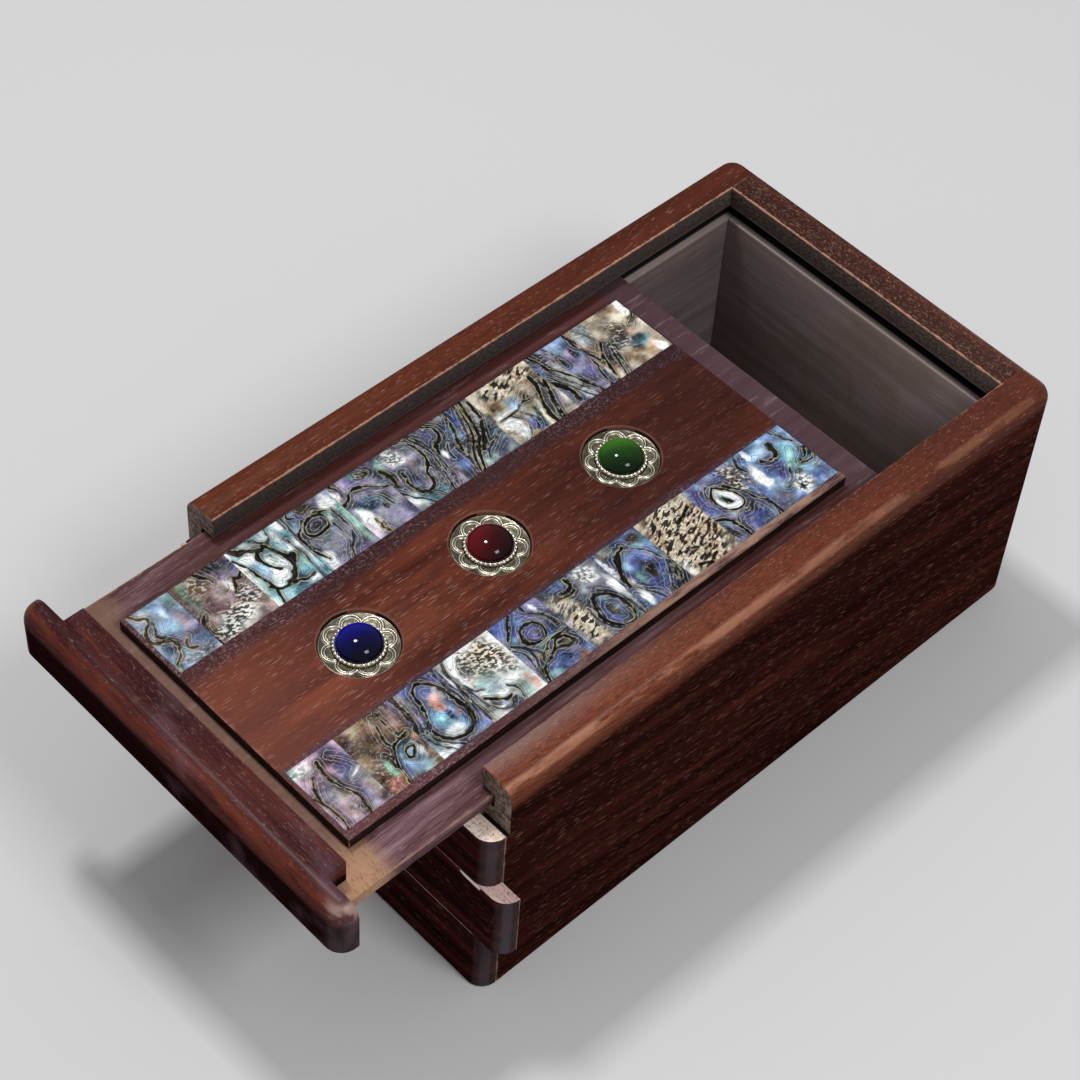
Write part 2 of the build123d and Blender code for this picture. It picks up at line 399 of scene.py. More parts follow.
def bare_inside(tree, place, colour, figure):
    """Inside, the groove is painted black as shadow under the lip, the ledge below it is painted pale where
    light falls on it, and the lip's face is dark and rough.
    """
    x, y, z = split(tree, place)
    deep = inner_depth(tree, x, y)
    stain = streaks(tree, place, (60, 60, 35), 3.0, 0.6)
    colour = lay(tree, colour, "7d6a50", fade(tree, stain, 0.45, 0.65), 0.4)
    cloud = mottle(tree, place, 500.0, 3.0)
    # Painted light: the ledge's edge is painted pale where light falls on it.
    near_ledge = product(tree, fade_at(tree, z, ledge_z, -1.2, -0.3), fade_at(tree, z, ledge_z, 0.4, 0.1))
    colour = lay(tree, colour, "a3948e", near_ledge, scaled(tree, cloud, 0.5, 0.5))
    # Painted shadow: the groove under the lip is painted near black.
    groove = calc(tree, "MAXIMUM", fade_at(tree, z, ledge_z, 0.2, 0.6), fade_at(tree, deep, 0, 1.2, 1.9))
    colour = lay(tree, colour, "050303", groove, fade_at(tree, z, lip_under_z, 0.6, -0.2), 0.97)
    lip = fade_at(tree, z, lip_under_z, 0, 1)
    rough = fade(tree, streaks(tree, place, (900, 900, 2200), 4.0, 0.7), 0.44, 0.64)
    colour = lay(tree, colour, "393133", lip, 0.88)
    at_back = scaled(tree, fade_at(tree, y, inner_y, -8, -2), 0.35, 0.25)
    colour = lay(tree, colour, "8c7a66", lip, rough, at_back)
    return lip_arris(tree, place, colour)


end_tones = ("2c2220", "4a3c37", "65534b", "7c6961")


def cut_end(name, node, seed):
    """Sawn end grain, grey-tan and finely pitted."""
    def pits(tree, place, colour, figure):
        """Paler fibres between the pits."""
        cloud = mottle(tree, place, 900.0, 4.0, 0.7)
        return lay(tree, colour, "8a776b", fade(tree, cloud, 0.42, 0.62))
    return wood(name, node, "Y", end_tones, "978478", seed, rub="b09a86", reach=0.5, matt=0.75,
                local=pits)


side_inside_tones = ("6c5f60", "766869", "817372", "8d7f7c")
# The back wall's bare inside is lighter than the sides' as painted light, for the light that falls on it.
back_inside_tones = ("80716f", "8a7b79", "948584", "a0918e")
for name, board, grain, seed, lean, rub, inside_tones, local in (
    ("left", "left_side_wall", "Y", 11.3, 3.0, "8f6354", side_inside_tones, rim_warmth),
    ("right", "right_side_wall", "Y", 17.9, 8.0, "8f6354", side_inside_tones, rim_warmth),
    ("back", "back_end_wall", "X", 23.5, 0.0, None, back_inside_tones, dusty_rim),
):
    node = name + "_wall"
    wall = eased(board, node, bevel=0.3, faces=wall_face)
    outside = wood(name + "_oiled_rosewood", node, grain, wall_tones, wall_pore, seed, rub=rub, reach=0.35,
                   unevenness=1.3, matt=0.55, share=0.75, pore_size=0.12, shine=0.0, lean=lean,
                   local=local, polish=rim_polish)
    inside = wood(name + "_bare_wood", node, grain, inside_tones, bare_pore, seed + 2, matt=0.68,
                  share=0.4, shine=0.05, local=bare_inside)
    ends = [cut_end(name + "_end_grain", node, seed + 4)] if grain == "Y" else []
    finish(wall, "box", "wall_wood", outside, inside, *ends)


# Inner front wall. A low plain board of the same bare hardwood as the bottom, glued between the side
# walls behind the front strips. Its top edge shows when the lid is out.
inner_front = eased("plain_inner_front", "inner_front_wall", bevel=0.2)
finish(inner_front, "box", "inner_wood",
       wood("bare_inner_front", "inner_front_wall", "X", bare_tones, bare_pore, seed=31.7,
            rub="8d7868", reach=0.6, matt=0.7))


# Front strips. Two thin strips of the same rosewood, glued over the front with a gap between them for the
# lock bar. Their outer corners are rounded with the box, and their sawn tops were never oiled.
front_tones = ("140707", "241010", "361716", "4c221c")
raw_tones = ("cbb0a2", "e2cabb", "f0e0d4", "faf2ea")


def front_wood(name, node, seed, polish, local):
    """The oiled rosewood of the three strips."""
    return wood(name, node, "X", front_tones, wall_pore, seed, rub="8f7268", reach=0.3, unevenness=0.9,
                matt=0.36, share=0.6, shine=0.0, polish=polish, local=local)


def sawn_top(height):
    """Sorts a strip's upward face, at that height, from its oiled faces."""
    def sort(centre, normal):
        """1 for the sawn top, 0 for the oiled faces."""
        return 1 if normal.z > 0.9 and centre.z > height - slack else 0
    return sort


def raw_wood(name, node, grain, tones, seed):
    """Freshly sawn wood, pale and pinkish, with dark specks in its pores."""
    def specks(tree, place, colour, figure):
        """Dark specks in the pale wood."""
        cloud = mottle(tree, place, 1400.0, 3.0, 0.7)
        return lay(tree, colour, "5d3f33", fade(tree, cloud, 0.54, 0.64), 0.7)
    return wood(name, node, grain, tones, "8a6a5a", seed, rub="f0e2d4", reach=0.5, matt=0.72, shine=0.05,
                local=specks)


def rounded_end(node):
    """The polish where hands rub the rounded corners of a front strip, and a grey sheen painted on them as a
    highlight.
    """
    low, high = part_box(node)
    middle, half = (low.x + high.x) / 2, (high.x - low.x) / 2

    def outward(tree, place):
        """How far a place is from the strip's middle."""
        return calc(tree, "ABSOLUTE", calc(tree, "SUBTRACT", split(tree, place)["X"], middle))

    def polish(tree, place):
        """A soft shine on the corners."""
        return product(tree, fade_at(tree, outward(tree, place), half, -3.5, -2), 0.3)

    def bloom(tree, place, colour, figure):
        """A grey sheen on the corners, a painted highlight."""
        out = outward(tree, place)
        band = product(tree, fade_at(tree, out, half, -2, -1.2), fade_at(tree, out, half, -0.15, -0.5))
        cloud = streaks(tree, place, (500, 500, 60), 3.0, 0.6)
        return lay(tree, colour, "4b4650", band, scaled(tree, cloud, 0.7, 0.1))

    return polish, bloom


for node, name, seed in (("front_upper_strip", "upper_front_strip", 41.0),
                         ("front_lower_strip", "lower_front_strip", 47.0)):
    strip = eased(name, node, bevel=0.22, faces=sawn_top(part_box(node)[1].z))
    # bloom is the grey sheen painted on the rounded corners as a highlight.
    polish, bloom = rounded_end(node)
    finish(strip, "box", "front_wood",
           front_wood(name + "_rosewood", node, seed, polish, bloom),
           raw_wood(name + "_sawn", node, "X", raw_tones, seed + 3))


# Lock bar. The middle strip of the front, also of rosewood, slides sideways on two tongues cut on it.
# Its top is raw where it was sawn to fit, and its front edge has torn pale splinters near the end that
# is pushed.
tongue_height = 1.8 * mm
strip_play = 0.15 * mm
bar_raw_tones = ("b58e87", "cda8a0", "e0c1b9", "f0dad3")
bar_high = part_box("lock_bar")[1]
bar_top_z = bar_high.z - tongue_height - strip_play
bar_polish, bar_corner_highlight = rounded_end("lock_bar")


def splintered(tree, place, colour, figure):
    """Torn pale fibres along the top front edge towards the bar's end."""
    # Painted highlight: the grey sheen on the bar's rounded corners.
    colour = bar_corner_highlight(tree, place, colour, figure)
    x, y, z = split(tree, place)
    near_top = fade_at(tree, z, bar_top_z, -1.8, -0.4)
    near_end = product(tree, fade_at(tree, x, bar_high.x, -15, -11), fade_at(tree, x, bar_high.x, -6, -8))
    cloud = streaks(tree, place, (500, 500, 900), 4.0, 0.7)
    return lay(tree, colour, "f2e9df", fade(tree, product(tree, near_top, near_end, cloud), 0.22, 0.32))


bar = eased("sliding_lock_bar", "lock_bar", bevel=0.22, faces=sawn_top(bar_top_z))
finish(bar, "lock", "front_wood",
       front_wood("bar_rosewood", "lock_bar", seed=53.0, polish=bar_polish, local=splintered),
       raw_wood("bar_sawn", "lock_bar", "X", bar_raw_tones, seed=57.0))


# Lock peg. A small round peg of plain brown wood, glued in a hole in the lock bar. It stands up through
# a slot in the upper strip into a track in the lid's rail, and isn't seen from outside.
peg_tones = ("6d4a30", "8a6242", "a47b57", "bb946d")
peg = eased("lock_bar_peg", "lock_peg", bevel=0.25)
finish(peg, "lock", "peg_wood",
       wood("peg_wood", "lock_peg", "Z", peg_tones, "7a5638", seed=61.0, matt=0.6))


# Lid board. A thin rosewood board that runs in the grooves. Its margins show round the raised panel:
# reddish along the sides, rubbed to bare tan by the rail, and dull grey-purple at the back.
board_low, board_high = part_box("lid_board")
panel_low, panel_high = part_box("raised_panel")
board_tones = ("3a2020", "583a3d", "73555c", "8c747c")


def lid_margins(tree, place, colour, figure):
    """Bare tan near the rail, strongest at its right end, and a dull bloom along the back margin."""
    x, y, z = split(tree, place)
    cloud = mottle(tree, place, 190.0, 4.0, 0.65)
    ragged = product(tree, calc(tree, "SUBTRACT", cloud, 0.5), 14 * mm)
    depth = scaled(tree, ragged, 0.6, y)
    strip = fade_at(tree, depth, panel_low.y, 6, 0)
    left_side = fade(tree, x, 0.0, board_low.x + 10 * mm)
    redder = fade_at(tree, depth, panel_low.y, 12, 50)
    colour = lay(tree, colour, "502821", redder, scaled(tree, left_side, 0.35, 0.5))
    colour = lay(tree, colour, "80604f", strip, 0.75)
    corner = product(tree, fade_at(tree, x, board_high.x, -16, -4), fade_at(tree, depth, panel_low.y, 7, -1))
    colour = lay(tree, colour, "b98f70", corner, 0.8)
    back = fade_at(tree, calc(tree, "ADD", y, product(tree, ragged, 0.25)), panel_high.y, -2, 2)
    colour = lay(tree, colour, "4a3b42", back, 0.7)
    sawn = fade(tree, streaks(tree, place, (520, 1500, 900), 4.0, 0.75), 0.5, 0.66)
    colour = lay(tree, colour, "644a3c", sawn, calc(tree, "MAXIMUM", strip, corner), 0.5)
    scuff = fade(tree, streaks(tree, place, (900, 90, 900), 4.0, 0.7), 0.55, 0.72)
    return lay(tree, colour, "9b8582", scuff, 0.35)


board = eased("grooved_lid_board", "lid_board", bevel=0.25)
finish(board, "lid", "lid_wood",
       wood("lid_board_rosewood", "lid_board", "Y", board_tones, "b09a9c", seed=67.0, rub="9a7a6a",
            reach=0.5, shine=0.06, local=lid_margins))


# Lid rail. The rosewood strip across the lid's front, rounded with the box and glued to the lid board,
# with a raised step behind it that fills the space between the lips. A peg's track is cut in its
# underside.
rail_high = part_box("lid_front_rail")[1]
rail_tones = ("2a1112", "3a1a1a", "4b2523", "62332a")


def handled(tree, place, colour, figure):
    """Its top is smooth and purplish from handling, with an orange line along the rounded front edge that is
    rubbed wood and partly a painted highlight. Its front face is darkened as painted shade.
    """
    x, y, z = split(tree, place)
    # Painted shade: the front face below the rounded edge is darkened.
    front = fade_at(tree, z, rail_high.z, -3, -5)
    colour = lay(tree, colour, "170909", front, 0.9)
    # The orange line on the rounded edge: rubbed wood, and partly a painted highlight.
    edge = product(tree, fade_at(tree, z, rail_high.z, -4, -1.2), fade_at(tree, z, rail_high.z, -0.01, -0.6))
    cloud = streaks(tree, place, (60, 400, 400), 4.0, 0.6)
    colour = lay(tree, colour, "773a28", edge, fade(tree, cloud, 0.3, 0.66), 0.62)
    bloom = fade(tree, streaks(tree, place, (40, 130, 40), 4.0, 0.6), 0.52, 0.68)
    colour = lay(tree, colour, "6f5560", bloom, 0.32)
    top = fade_at(tree, z, rail_high.z, -1.5, -0.5)
    speck = fade(tree, streaks(tree, place, (900, 2300, 2300), 3.0, 0.75), 0.6, 0.7)
    colour = lay(tree, colour, "a99aa4", speck, top, 0.3)
    end = fade_at(tree, x, rail_high.x, -7, -3)
    return lay(tree, colour, "c0a89c", end, fade(tree, cloud, 0.4, 0.6), edge, 0.45)


def rail_polish(tree, place):
    """The rail's top and its rounded edge and ends shine; the front face below is dull."""
    x, y, z = split(tree, place)
    top = fade_at(tree, z, rail_high.z, -5, -2)
    end = fade_at(tree, calc(tree, "ABSOLUTE", x), rail_high.x, -4, -2.5)
    return scaled(tree, end, 0.2, product(tree, top, 0.14))


rail = eased("rounded_lid_rail", "lid_front_rail", bevel=0.3)
finish(rail, "lid", "front_wood",
       wood("rail_rosewood", "lid_front_rail", "X", rail_tones, wall_pore, seed=71.0, rub="77483a",
            reach=0.35, unevenness=0.6, matt=0.36, share=0.7, shine=0.0, polish=rail_polish, local=handled))


# Raised panel. A polished rosewood panel glued on the lid board, bored for the stones and cut down at
# both sides for the shell. Its sawn front face is nearly black, and its right border has a rubbed edge.
worn_and_highlit_ring = 9.0 * mm
panel_tones = ("3f1a14", "51261b", "633022", "773e2a")
panel_side_tones = ("120a08", "1f120e", "2c1b15", "3d281e")
tile_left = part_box("left_shell_tile_1")
tile_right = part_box("right_shell_tile_1")
setting_holes = []
for name in ("front", "middle", "back"):
    low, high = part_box(name + "_flower_disc")
    setting_holes.append(((low.x + high.x) / 2, (low.y + high.y) / 2, panel_high.z))


def panel_face(centre, normal):
    """0 for the polished top, 1 for the sawn sides."""
    return 1 if abs(normal.z) < 0.3 and (abs(normal.x) > 0.9 or abs(normal.y) > 0.9) else 0


def panel_bands(tree, place, colour, figure):
    """A dark purple band beside the left shell, a thin dusty one beside the right, and a worn border."""
    x, y, z = split(tree, place)
    cloud = streaks(tree, place, (320, 60, 320), 4.0, 0.65)
    across = sway(tree, x, cloud, 4 * mm)
    left_edge, right_edge = tile_left[1].x, tile_right[0].x
    uneven = streaks(tree, place, (110, 45, 110), 4.0, 0.6)
    colour = lay(tree, colour, "381a18", fade(tree, uneven, 0.48, 0.34), 0.5)
    colour = lay(tree, colour, "86452c", fade(tree, uneven, 0.52, 0.7), 0.4)
    # Painted light: the panel is darker towards the back and lighter towards the front, as the light falls
    # off.
    painted_shade_to_back = fade(tree, y, panel_low.y + 15 * mm, panel_high.y)
    colour = lay(tree, colour, "301614", painted_shade_to_back, 0.72)
    painted_light_to_front = fade_at(tree, y, panel_low.y, 45, 5)
    colour = lay(tree, colour, "96594a", painted_light_to_front, 0.3)
    dark = fade_at(tree, across, left_edge, 5.4, 3)
    colour = lay(tree, colour, "2e1b20", dark, 0.72)
    dusty = fade_at(tree, across, right_edge, -1.7, -0.5)
    border = fade_at(tree, x, tile_right[1].x, -0.1, 0)
    colour = lay(tree, colour, "46303a", dusty, 0.6)
    speck = fade(tree, streaks(tree, place, (2600, 1300, 2600), 3.0, 0.75), 0.5, 0.66)
    beside = calc(tree, "MAXIMUM", dark, dusty)
    bloom = fade(tree, streaks(tree, place, (160, 70, 160), 3.0, 0.6), 0.42, 0.66)
    scuffed = scaled(tree, fade_at(tree, y, panel_low.y, 45, 12), 0.6, 0.4)
    beside = product(tree, beside, scuffed, scaled(tree, bloom, 0.7, 0.3))
    colour = lay(tree, colour, "a794a0", speck, beside, 0.8)
    for hole in setting_holes:
        away = add(tree, "VectorMath", {0: place, 1: hole}, operation="DISTANCE").outputs["Value"]
        # A pale ring round each hole: partly a worn arris, partly a painted edge highlight.
        colour = lay(tree, colour, "a07263", fade_at(tree, away, worn_and_highlit_ring, 0.15, -0.15), 0.35)
    to_the_back = fade(tree, y, panel_low.y + 30 * mm, panel_high.y - 30 * mm)
    return lay(tree, colour, "b08c78", border, to_the_back, fade(tree, cloud, 0.35, 0.6), 0.75)


panel = eased("inlaid_panel", "raised_panel", bevel=0.12, faces=panel_face)
finish(panel, "lid", "panel_wood",
       wood("panel_rosewood", "raised_panel", "Y", panel_tones, "c39a8a", seed=79.0, rub="a8887c",
            reach=0.28, unevenness=1.4, matt=0.4, share=0.95, pore_size=0.13, shine=0.06, local=panel_bands),
       wood("panel_sawn_side", "raised_panel", "Y", panel_side_tones, "5d4a3d", seed=83.0,
            rub="8b6b58", reach=0.3, matt=0.6))


# Shell tiles. Two rows of unequal tiles of abalone, each sawn to the row's width, glued side by side in
# the panel's rebates and polished flush. Dark layers wander through the silver, blue and green, and
# some tiles show the grainy crust.
grid_cell = 0.22
mid_tone = 0.25
# The pearl tone is partly the shell's own silvery nacre and partly painted glare.
shell_tones = {
    "lavender": "7c7890", "violet": "5f5984", "periwinkle": "586898", "sky": "86a6c0", "teal": "5796a2",
    "sea": "84b39f", "cream": "b6ad99", "pearl": "e6ece9", "pink": "ae94a4", "rose": "91797d",
    "peach": "cf8a72", "tan": "8f7a60", "olive": "4a4018", "gold": "8a6c2c", "brown": "553d34",
    "slate": "4c5568", "teal_dark": "2f5a6b", "navy": "20274c", "black": "12100e", "grey": "73747e",
}
line_darkness = {"black": 0.95, "olive": 0.85, "gold": 0.75, "slate": 0.7, "brown": 0.7, "navy": 0.75,
                 "teal_dark": 0.7, "violet": 0.5}

# For each tile, in mm from its front left corner: its two ground tones; its washes, as place, half sizes,
# sometimes a turn, tone and strength; its dark lines, as width, tone and points; then its patches of fine
# crust and of coarse flakes, as place, half sizes and strength.
shell_tiles = {
    "left_shell_tile_1": (
        ("lavender", "sky"),
        [(4, 5, 4.8, 3.5, "sky", 0.7), (2, 9.6, 3, 1.3, "sea", 0.5), (7.5, 8.6, 2.2, 1.8, "rose", 0.6),
         (13, 6, 3.8, 2, "violet", 0.55), (13, 1.9, 2.9, 2, "slate", 0.85),
         (16.6, 6, 1.6, 5.5, "grey", 0.7), (1.5, 3.7, 1.3, 1.2, "pearl", 0.5),
         (7.5, 1.2, 2.5, 0.7, "pearl", 0.4), (4, 6.7, 1.5, 1, "pearl", 0.35)],
        [(0.5, "gold", [(0.1, 0.8), (1.5, 1.6), (2.9, 3.2), (4.1, 2.6), (5.5, 1.1), (8, 0.3), (9.3, 1.2),
         (10.2, 3.2), (11.8, 4.2), (13.5, 3.3), (15, 2.2), (16.1, 0.7), (18, 0.3)]),
         (0.4, "gold", [(11.4, 6.8), (12.6, 5.8), (14.2, 5.3), (15.1, 6.8)]), (0.2, "olive", [(4.5, 3.5),
         (6, 3), (7.8, 2.2), (9.2, 3)])],
        [(16.8, 6, 1.5, 5.5, 0.45)],
        [],
    ),
    "left_shell_tile_2": (
        ("rose", "tan"),
        [(3, 11.9, 3.8, 3, "slate", 0.75), (4.5, 13.9, 3, 0.9, "periwinkle", 0.5),
         (1, 9.7, 1.3, 1.6, "navy", 0.5), (7.8, 8, 3.5, 4, "rose", 0.8), (4, 4.2, 4.2, 2.5, "tan", 0.6),
         (1.5, 2.7, 2, 1.5, "sea", 0.5), (5.5, 2.2, 4.5, 1.1, "sea", 0.4),
         (15, 6.7, 3.5, 5.5, "pearl", 0.6), (11, 13.2, 2.5, 1.5, "pearl", 0.4),
         (13.5, 0.2, 4, 0.7, "brown", 0.6), (7, 10.7, 1.5, 1, "pearl", 0.4)],
        [(0.4, "olive", [(0.1, 6.6), (1.2, 7.3), (2.5, 8), (3.4, 8.4), (4.4, 8.5)]),
         (0.45, "black", [(5.5, 14.7), (6.8, 13.4), (6, 12.4), (7.8, 11.6), (9.2, 10.4)]),
         (0.3, "brown", [(9.8, 1.7), (11.6, 0.7), (14, -0.1), (18.1, 0.2)]), (0.25, "brown", [(10.2, 0.9),
         (12.5, 0), (15, -0.6), (18.1, -0.6)])],
        [(11, 12.2, 3.1, 2.9, 0.95), (13.8, 7.5, 3.5, 4.2, 1), (15.8, 3.7, 2.6, 3.8, 1),
         (3, 5.2, 3.1, 1.9, 0.6), (4.5, 2.7, 3.5, 1, 0.4)],
        [],
    ),
    "left_shell_tile_3": (
        ("teal", "pearl"),
        [(2.2, 9.7, 2.5, 2.8, "pearl", 0.7), (6, 9.9, 4, 1.7, "teal", 0.7),
         (11, 11.9, 3.5, 1.4, "sea", 0.7), (4.5, 12.2, 3.5, 0.9, "slate", 0.6),
         (9.5, 6.7, 4, 2, "pearl", 0.8), (8.2, 6.8, 2.5, 1.1, "sea", 0.5),
         (8.5, 3.4, 4.5, 1.6, "sky", 0.75), (13.5, 1.3, 4.8, 1.2, "teal", 0.85),
         (1.5, 1.9, 1.4, 2, "teal", 0.6), (1.5, 4.9, 1.3, 2.2, "pearl", 0.7),
         (16.1, 8.9, 2, 3, "slate", 0.6), (17, 10.9, 1.3, 2, "pearl", 0.5),
         (11.5, 0.9, 3, 0.7, "pearl", 0.5), (9.2, 9.9, 2.8, 0.8, "olive", 0.6),
         (13, 3.9, 2, 1, "pearl", 0.5)],
        [(1.1, "olive", [(0, 1.3), (1.5, 2.4), (2.6, 4.2), (3.5, 5.8), (3.9, 7.5)]),
         (0.95, "olive", [(3.7, 7.5), (6, 8.6), (8.5, 9.5), (10.3, 10.2), (9.2, 10.9)]),
         (1, "olive", [(10.3, 10.1), (12.5, 8.5), (13.7, 7.7), (14.3, 6.1)]), (0.7, "black", [(4.1, 5.3),
         (6, 4.8), (8, 5.1), (9.7, 5.8), (10.6, 6.7)]), (0.4, "olive", [(14.9, 6.3), (15.4, 7.9),
         (16.3, 9.4), (16, 11.3)]), (0.5, "black", [(14.3, 6.1), (15, 4.9), (14.6, 3.2), (12.9, 2)]),
         (0.35, "black", [(2.5, 0.3), (6.5, 1.6), (10, 2), (13.5, 2.6), (15.2, 2.3), (18, 1.4)]),
         (0.3, "slate", [(0, 10.5), (2.4, 9.9), (3.3, 8.9), (2.1, 7.6), (0.7, 6.7)]),
         (0.25, "slate", [(5, 12.4), (8, 12.5), (11, 12.9), (13.5, 12.4), (18, 12.2)])],
        [(8, 6.8, 3, 1.1, 0.35), (10.8, 10.5, 2, 0.8, 0.5)],
        [],
    ),
    "left_shell_tile_4": (
        ("grey", "lavender"),
        [(9.5, 12.3, 8.5, 1.3, "sea", 0.7), (3, 10.9, 3, 1.7, "pearl", 1), (6, 9.1, 3, 1.2, "sea", 0.7),
         (13, 5.5, 4.8, 3.1, "grey", 0.6), (13.5, 7, 2.5, 1, "lavender", 0.6),
         (3, 2.2, 3.1, 1.7, "sky", 0.8), (1.5, 3.7, 1.5, 1, "periwinkle", 0.6),
         (15.5, 1.7, 2.8, 1.5, "pearl", 1), (13, 0.3, 5, 0.6, "teal", 0.7),
         (1.2, 6, 1.7, 2.5, "olive", 0.9), (7, 6, 1, 1.2, "olive", 0.95), (6, 5, 1.7, 2, "slate", 0.5),
         (15, 11.2, 3, 1, "grey", 0.6), (7, 8.9, 1.1, 0.8, "pearl", 0.8),
         (16, 5, 2, 1.5, "lavender", 0.4)],
        [(0.45, "black", [(6, 8.4), (4.7, 8.2), (3.9, 6.7), (4.2, 4.7), (5.5, 3), (7.3, 2.6), (8.7, 3.9),
         (8.8, 5.8), (8.1, 7.7), (6.8, 8.3)]), (0.45, "slate", [(4.9, 10.9), (8.5, 10.8), (11.6, 10.6),
         (14.3, 9.3), (15.8, 7.5), (18, 6.3)]), (0.3, "slate", [(8.3, 8.8), (11.3, 8.6), (14, 8.2),
         (16, 6.7), (18.1, 5)]), (0.55, "black", [(3.4, 4), (4.9, 2.4), (6.5, 0.8), (8.8, 0.7),
         (11.1, 0.6), (13.1, 1.1), (15.3, 1.9)]), (0.7, "black", [(0, 2.6), (1.2, 1.9), (2.1, 3.1)]),
         (0.3, "slate", [(0, 1.1), (3.5, 0.8), (6, 0.3)]), (0.25, "olive", [(4.5, 9.9), (4, 8.7),
         (3.1, 7.5)])],
        [(2.5, 11.1, 3, 1.5, 0.25), (15.8, 1.7, 2.5, 1.5, 0.3)],
        [],
    ),
    "left_shell_tile_5": (
        ("grey", "lavender"),
        [(2, 5.5, 2.3, 3.1, "violet", 0.6), (1, 7.2, 1.2, 1.7, "sea", 0.5),
         (1.7, 8.8, 0.7, 1.3, "olive", 0.95), (3.5, 10.8, 3.5, 1, "slate", 0.7),
         (9.2, 4.2, 2.4, 3.1, "teal_dark", 0.8), (9.8, 5.8, 1.7, 1.5, "navy", 0.6),
         (11.6, 7.5, 1.2, 0.9, "black", 0.95), (7, 8.2, 1.5, 1.5, "grey", 0.6),
         (15, 7.8, 2.5, 3, "lavender", 0.6), (13, 1.2, 4.5, 2.2, "pearl", 1),
         (15, 0.5, 3, 1, "pink", 0.7), (10, 0.5, 1.5, 0.7, "violet", 0.6),
         (15.2, 3.5, 2.2, 1.1, "cream", 0.8), (3, 0.2, 3, 0.7, "pearl", 0.9),
         (1.5, 2.8, 1.5, 1.1, "pink", 0.5), (15.5, 10.2, 2.5, 1.3, "lavender", 0.4)],
        [(0.5, "black", [(8.1, 11.6), (6.8, 9), (4.8, 7), (4.1, 5.2), (4.4, 3.2), (5.5, 1.9),
         (6.4, -0.1)]), (0.35, "olive", [(1.1, 7.8), (2, 9.8), (2.6, 8.8), (2, 7.5)]),
         (0.25, "slate", [(7.6, 6), (8.3, 7.5), (10.1, 8.4), (12.5, 8.8)]), (0.3, "black", [(0.3, 1.2),
         (2.2, 1.9), (3.7, 1.6), (4.5, 0.7)]), (0.3, "gold", [(13.3, 2.8), (15, 3.1), (16.1, 2.8),
         (17.7, 3.4)])],
        [(15.5, 3.5, 2.2, 1.3, 0.6), (4, 0.3, 3.5, 0.6, 0.3)],
        [],
    ),
    "left_shell_tile_6": (
        ("grey", "lavender"),
        [(6, 7.7, 5, 2.5, "grey", 0.7), (7.5, 7.2, 3, 1.3, "rose", 0.5),
         (3, 5.4, 2.7, 2.3, "pearl", 0.85), (16.5, 6.7, 1.7, 3.5, "teal", 0.8),
         (10, 4.7, 4, 1.7, "slate", 0.7), (3, 1.6, 3, 1.1, "sea", 0.8), (15, 1.6, 3, 2, "pearl", 0.9),
         (15.5, 3.1, 2.5, 0.7, "teal", 0.7), (1.5, 9.9, 1.5, 1, "slate", 0.6),
         (13.5, 12.7, 4.5, 0.8, "tan", 0.5), (6.5, 0.7, 3.5, 0.6, "slate", 0.5)],
        [(0.4, "black", [(0, 8.2), (1.9, 10.3), (5.4, 10.9), (8.5, 10.2), (10.5, 8.3), (13.4, 7.7),
         (14.8, 6), (14.1, 4), (10.8, 3.1), (7.4, 3.9)]), (0.3, "slate", [(0, 10.9), (4.5, 12.4),
         (8.5, 12.3), (13.5, 10.8), (18.1, 9.6)]), (0.3, "slate", [(0, 11.8), (4.5, 13.1), (9.5, 13),
         (18.1, 10.8)]), (0.25, "slate", [(9.5, 10.2), (13.5, 9.6), (18.1, 8.6)]),
         (0.75, "olive", [(3.9, 0.8), (6.5, 1.4), (9.6, 0.8)]), (0.35, "slate", [(12.9, 3), (15, 4.2),
         (16.3, 6), (18.1, 6.8)]), (0.35, "teal_dark", [(11, 0), (14, 1.4), (16, 3.1), (18.1, 4.2)])],
        [(3, 5.4, 2.5, 2.2, 0.85), (1.5, 3.1, 1.8, 2, 0.5)],
        [],
    ),
    "left_shell_tile_7": (
        ("grey", "slate"),
        [(9.8, 12.3, 3, 2, "teal_dark", 0.8), (2.5, 8.7, 2.6, 1.4, "periwinkle", 0.9),
         (15.8, 11.3, 2.4, 3, "slate", 0.7), (6, 6.6, 3, 1.3, "sky", 0.7),
         (12.8, 2.4, 4.2, 1.4, "periwinkle", 0.85), (3, 1.5, 2.6, 1.2, "violet", 0.7),
         (9.1, 1, 1.6, 0.7, "pearl", 1), (3.5, 13.6, 3, 0.8, "cream", 0.5),
         (15, 6.1, 2.5, 1.1, "pearl", 0.5), (11, 4.8, 1.5, 0.7, "pearl", 0.8),
         (16.5, 8.1, 1.4, 1.5, "sea", 0.4), (1, 5.1, 1.2, 2, "tan", 0.4)],
        [(0.5, "black", [(0.1, 13.2), (6, 11.6), (10.1, 10), (13.5, 7.1), (18.1, 4.5)]),
         (0.35, "black", [(0.1, 12.3), (5.5, 10.6), (9.5, 8.9), (12.9, 6), (18.1, 3.5)]),
         (0.3, "slate", [(0.1, 11.5), (5.1, 9.7), (8.8, 8), (12, 5.1), (15, 3.9)]),
         (0.4, "black", [(0.1, 8.4), (4, 7.3), (7.5, 5.8), (11, 4.6)]), (0.6, "black", [(1.5, 14.7),
         (6.1, 13.8), (9.1, 12), (11.6, 10.4), (13.8, 8.3)]), (0.3, "slate", [(12, 14.1), (13.3, 11.6),
         (14.6, 9), (16.5, 7.6)]), (0.5, "black", [(0.3, 2.1), (1.7, 3.6), (3.3, 3.9), (5, 3), (6, 1.3),
         (8.5, 0)]), (0.3, "slate", [(9.6, 3.8), (13.5, 4.1), (18.1, 3)]), (0.3, "slate", [(7.5, 3.3),
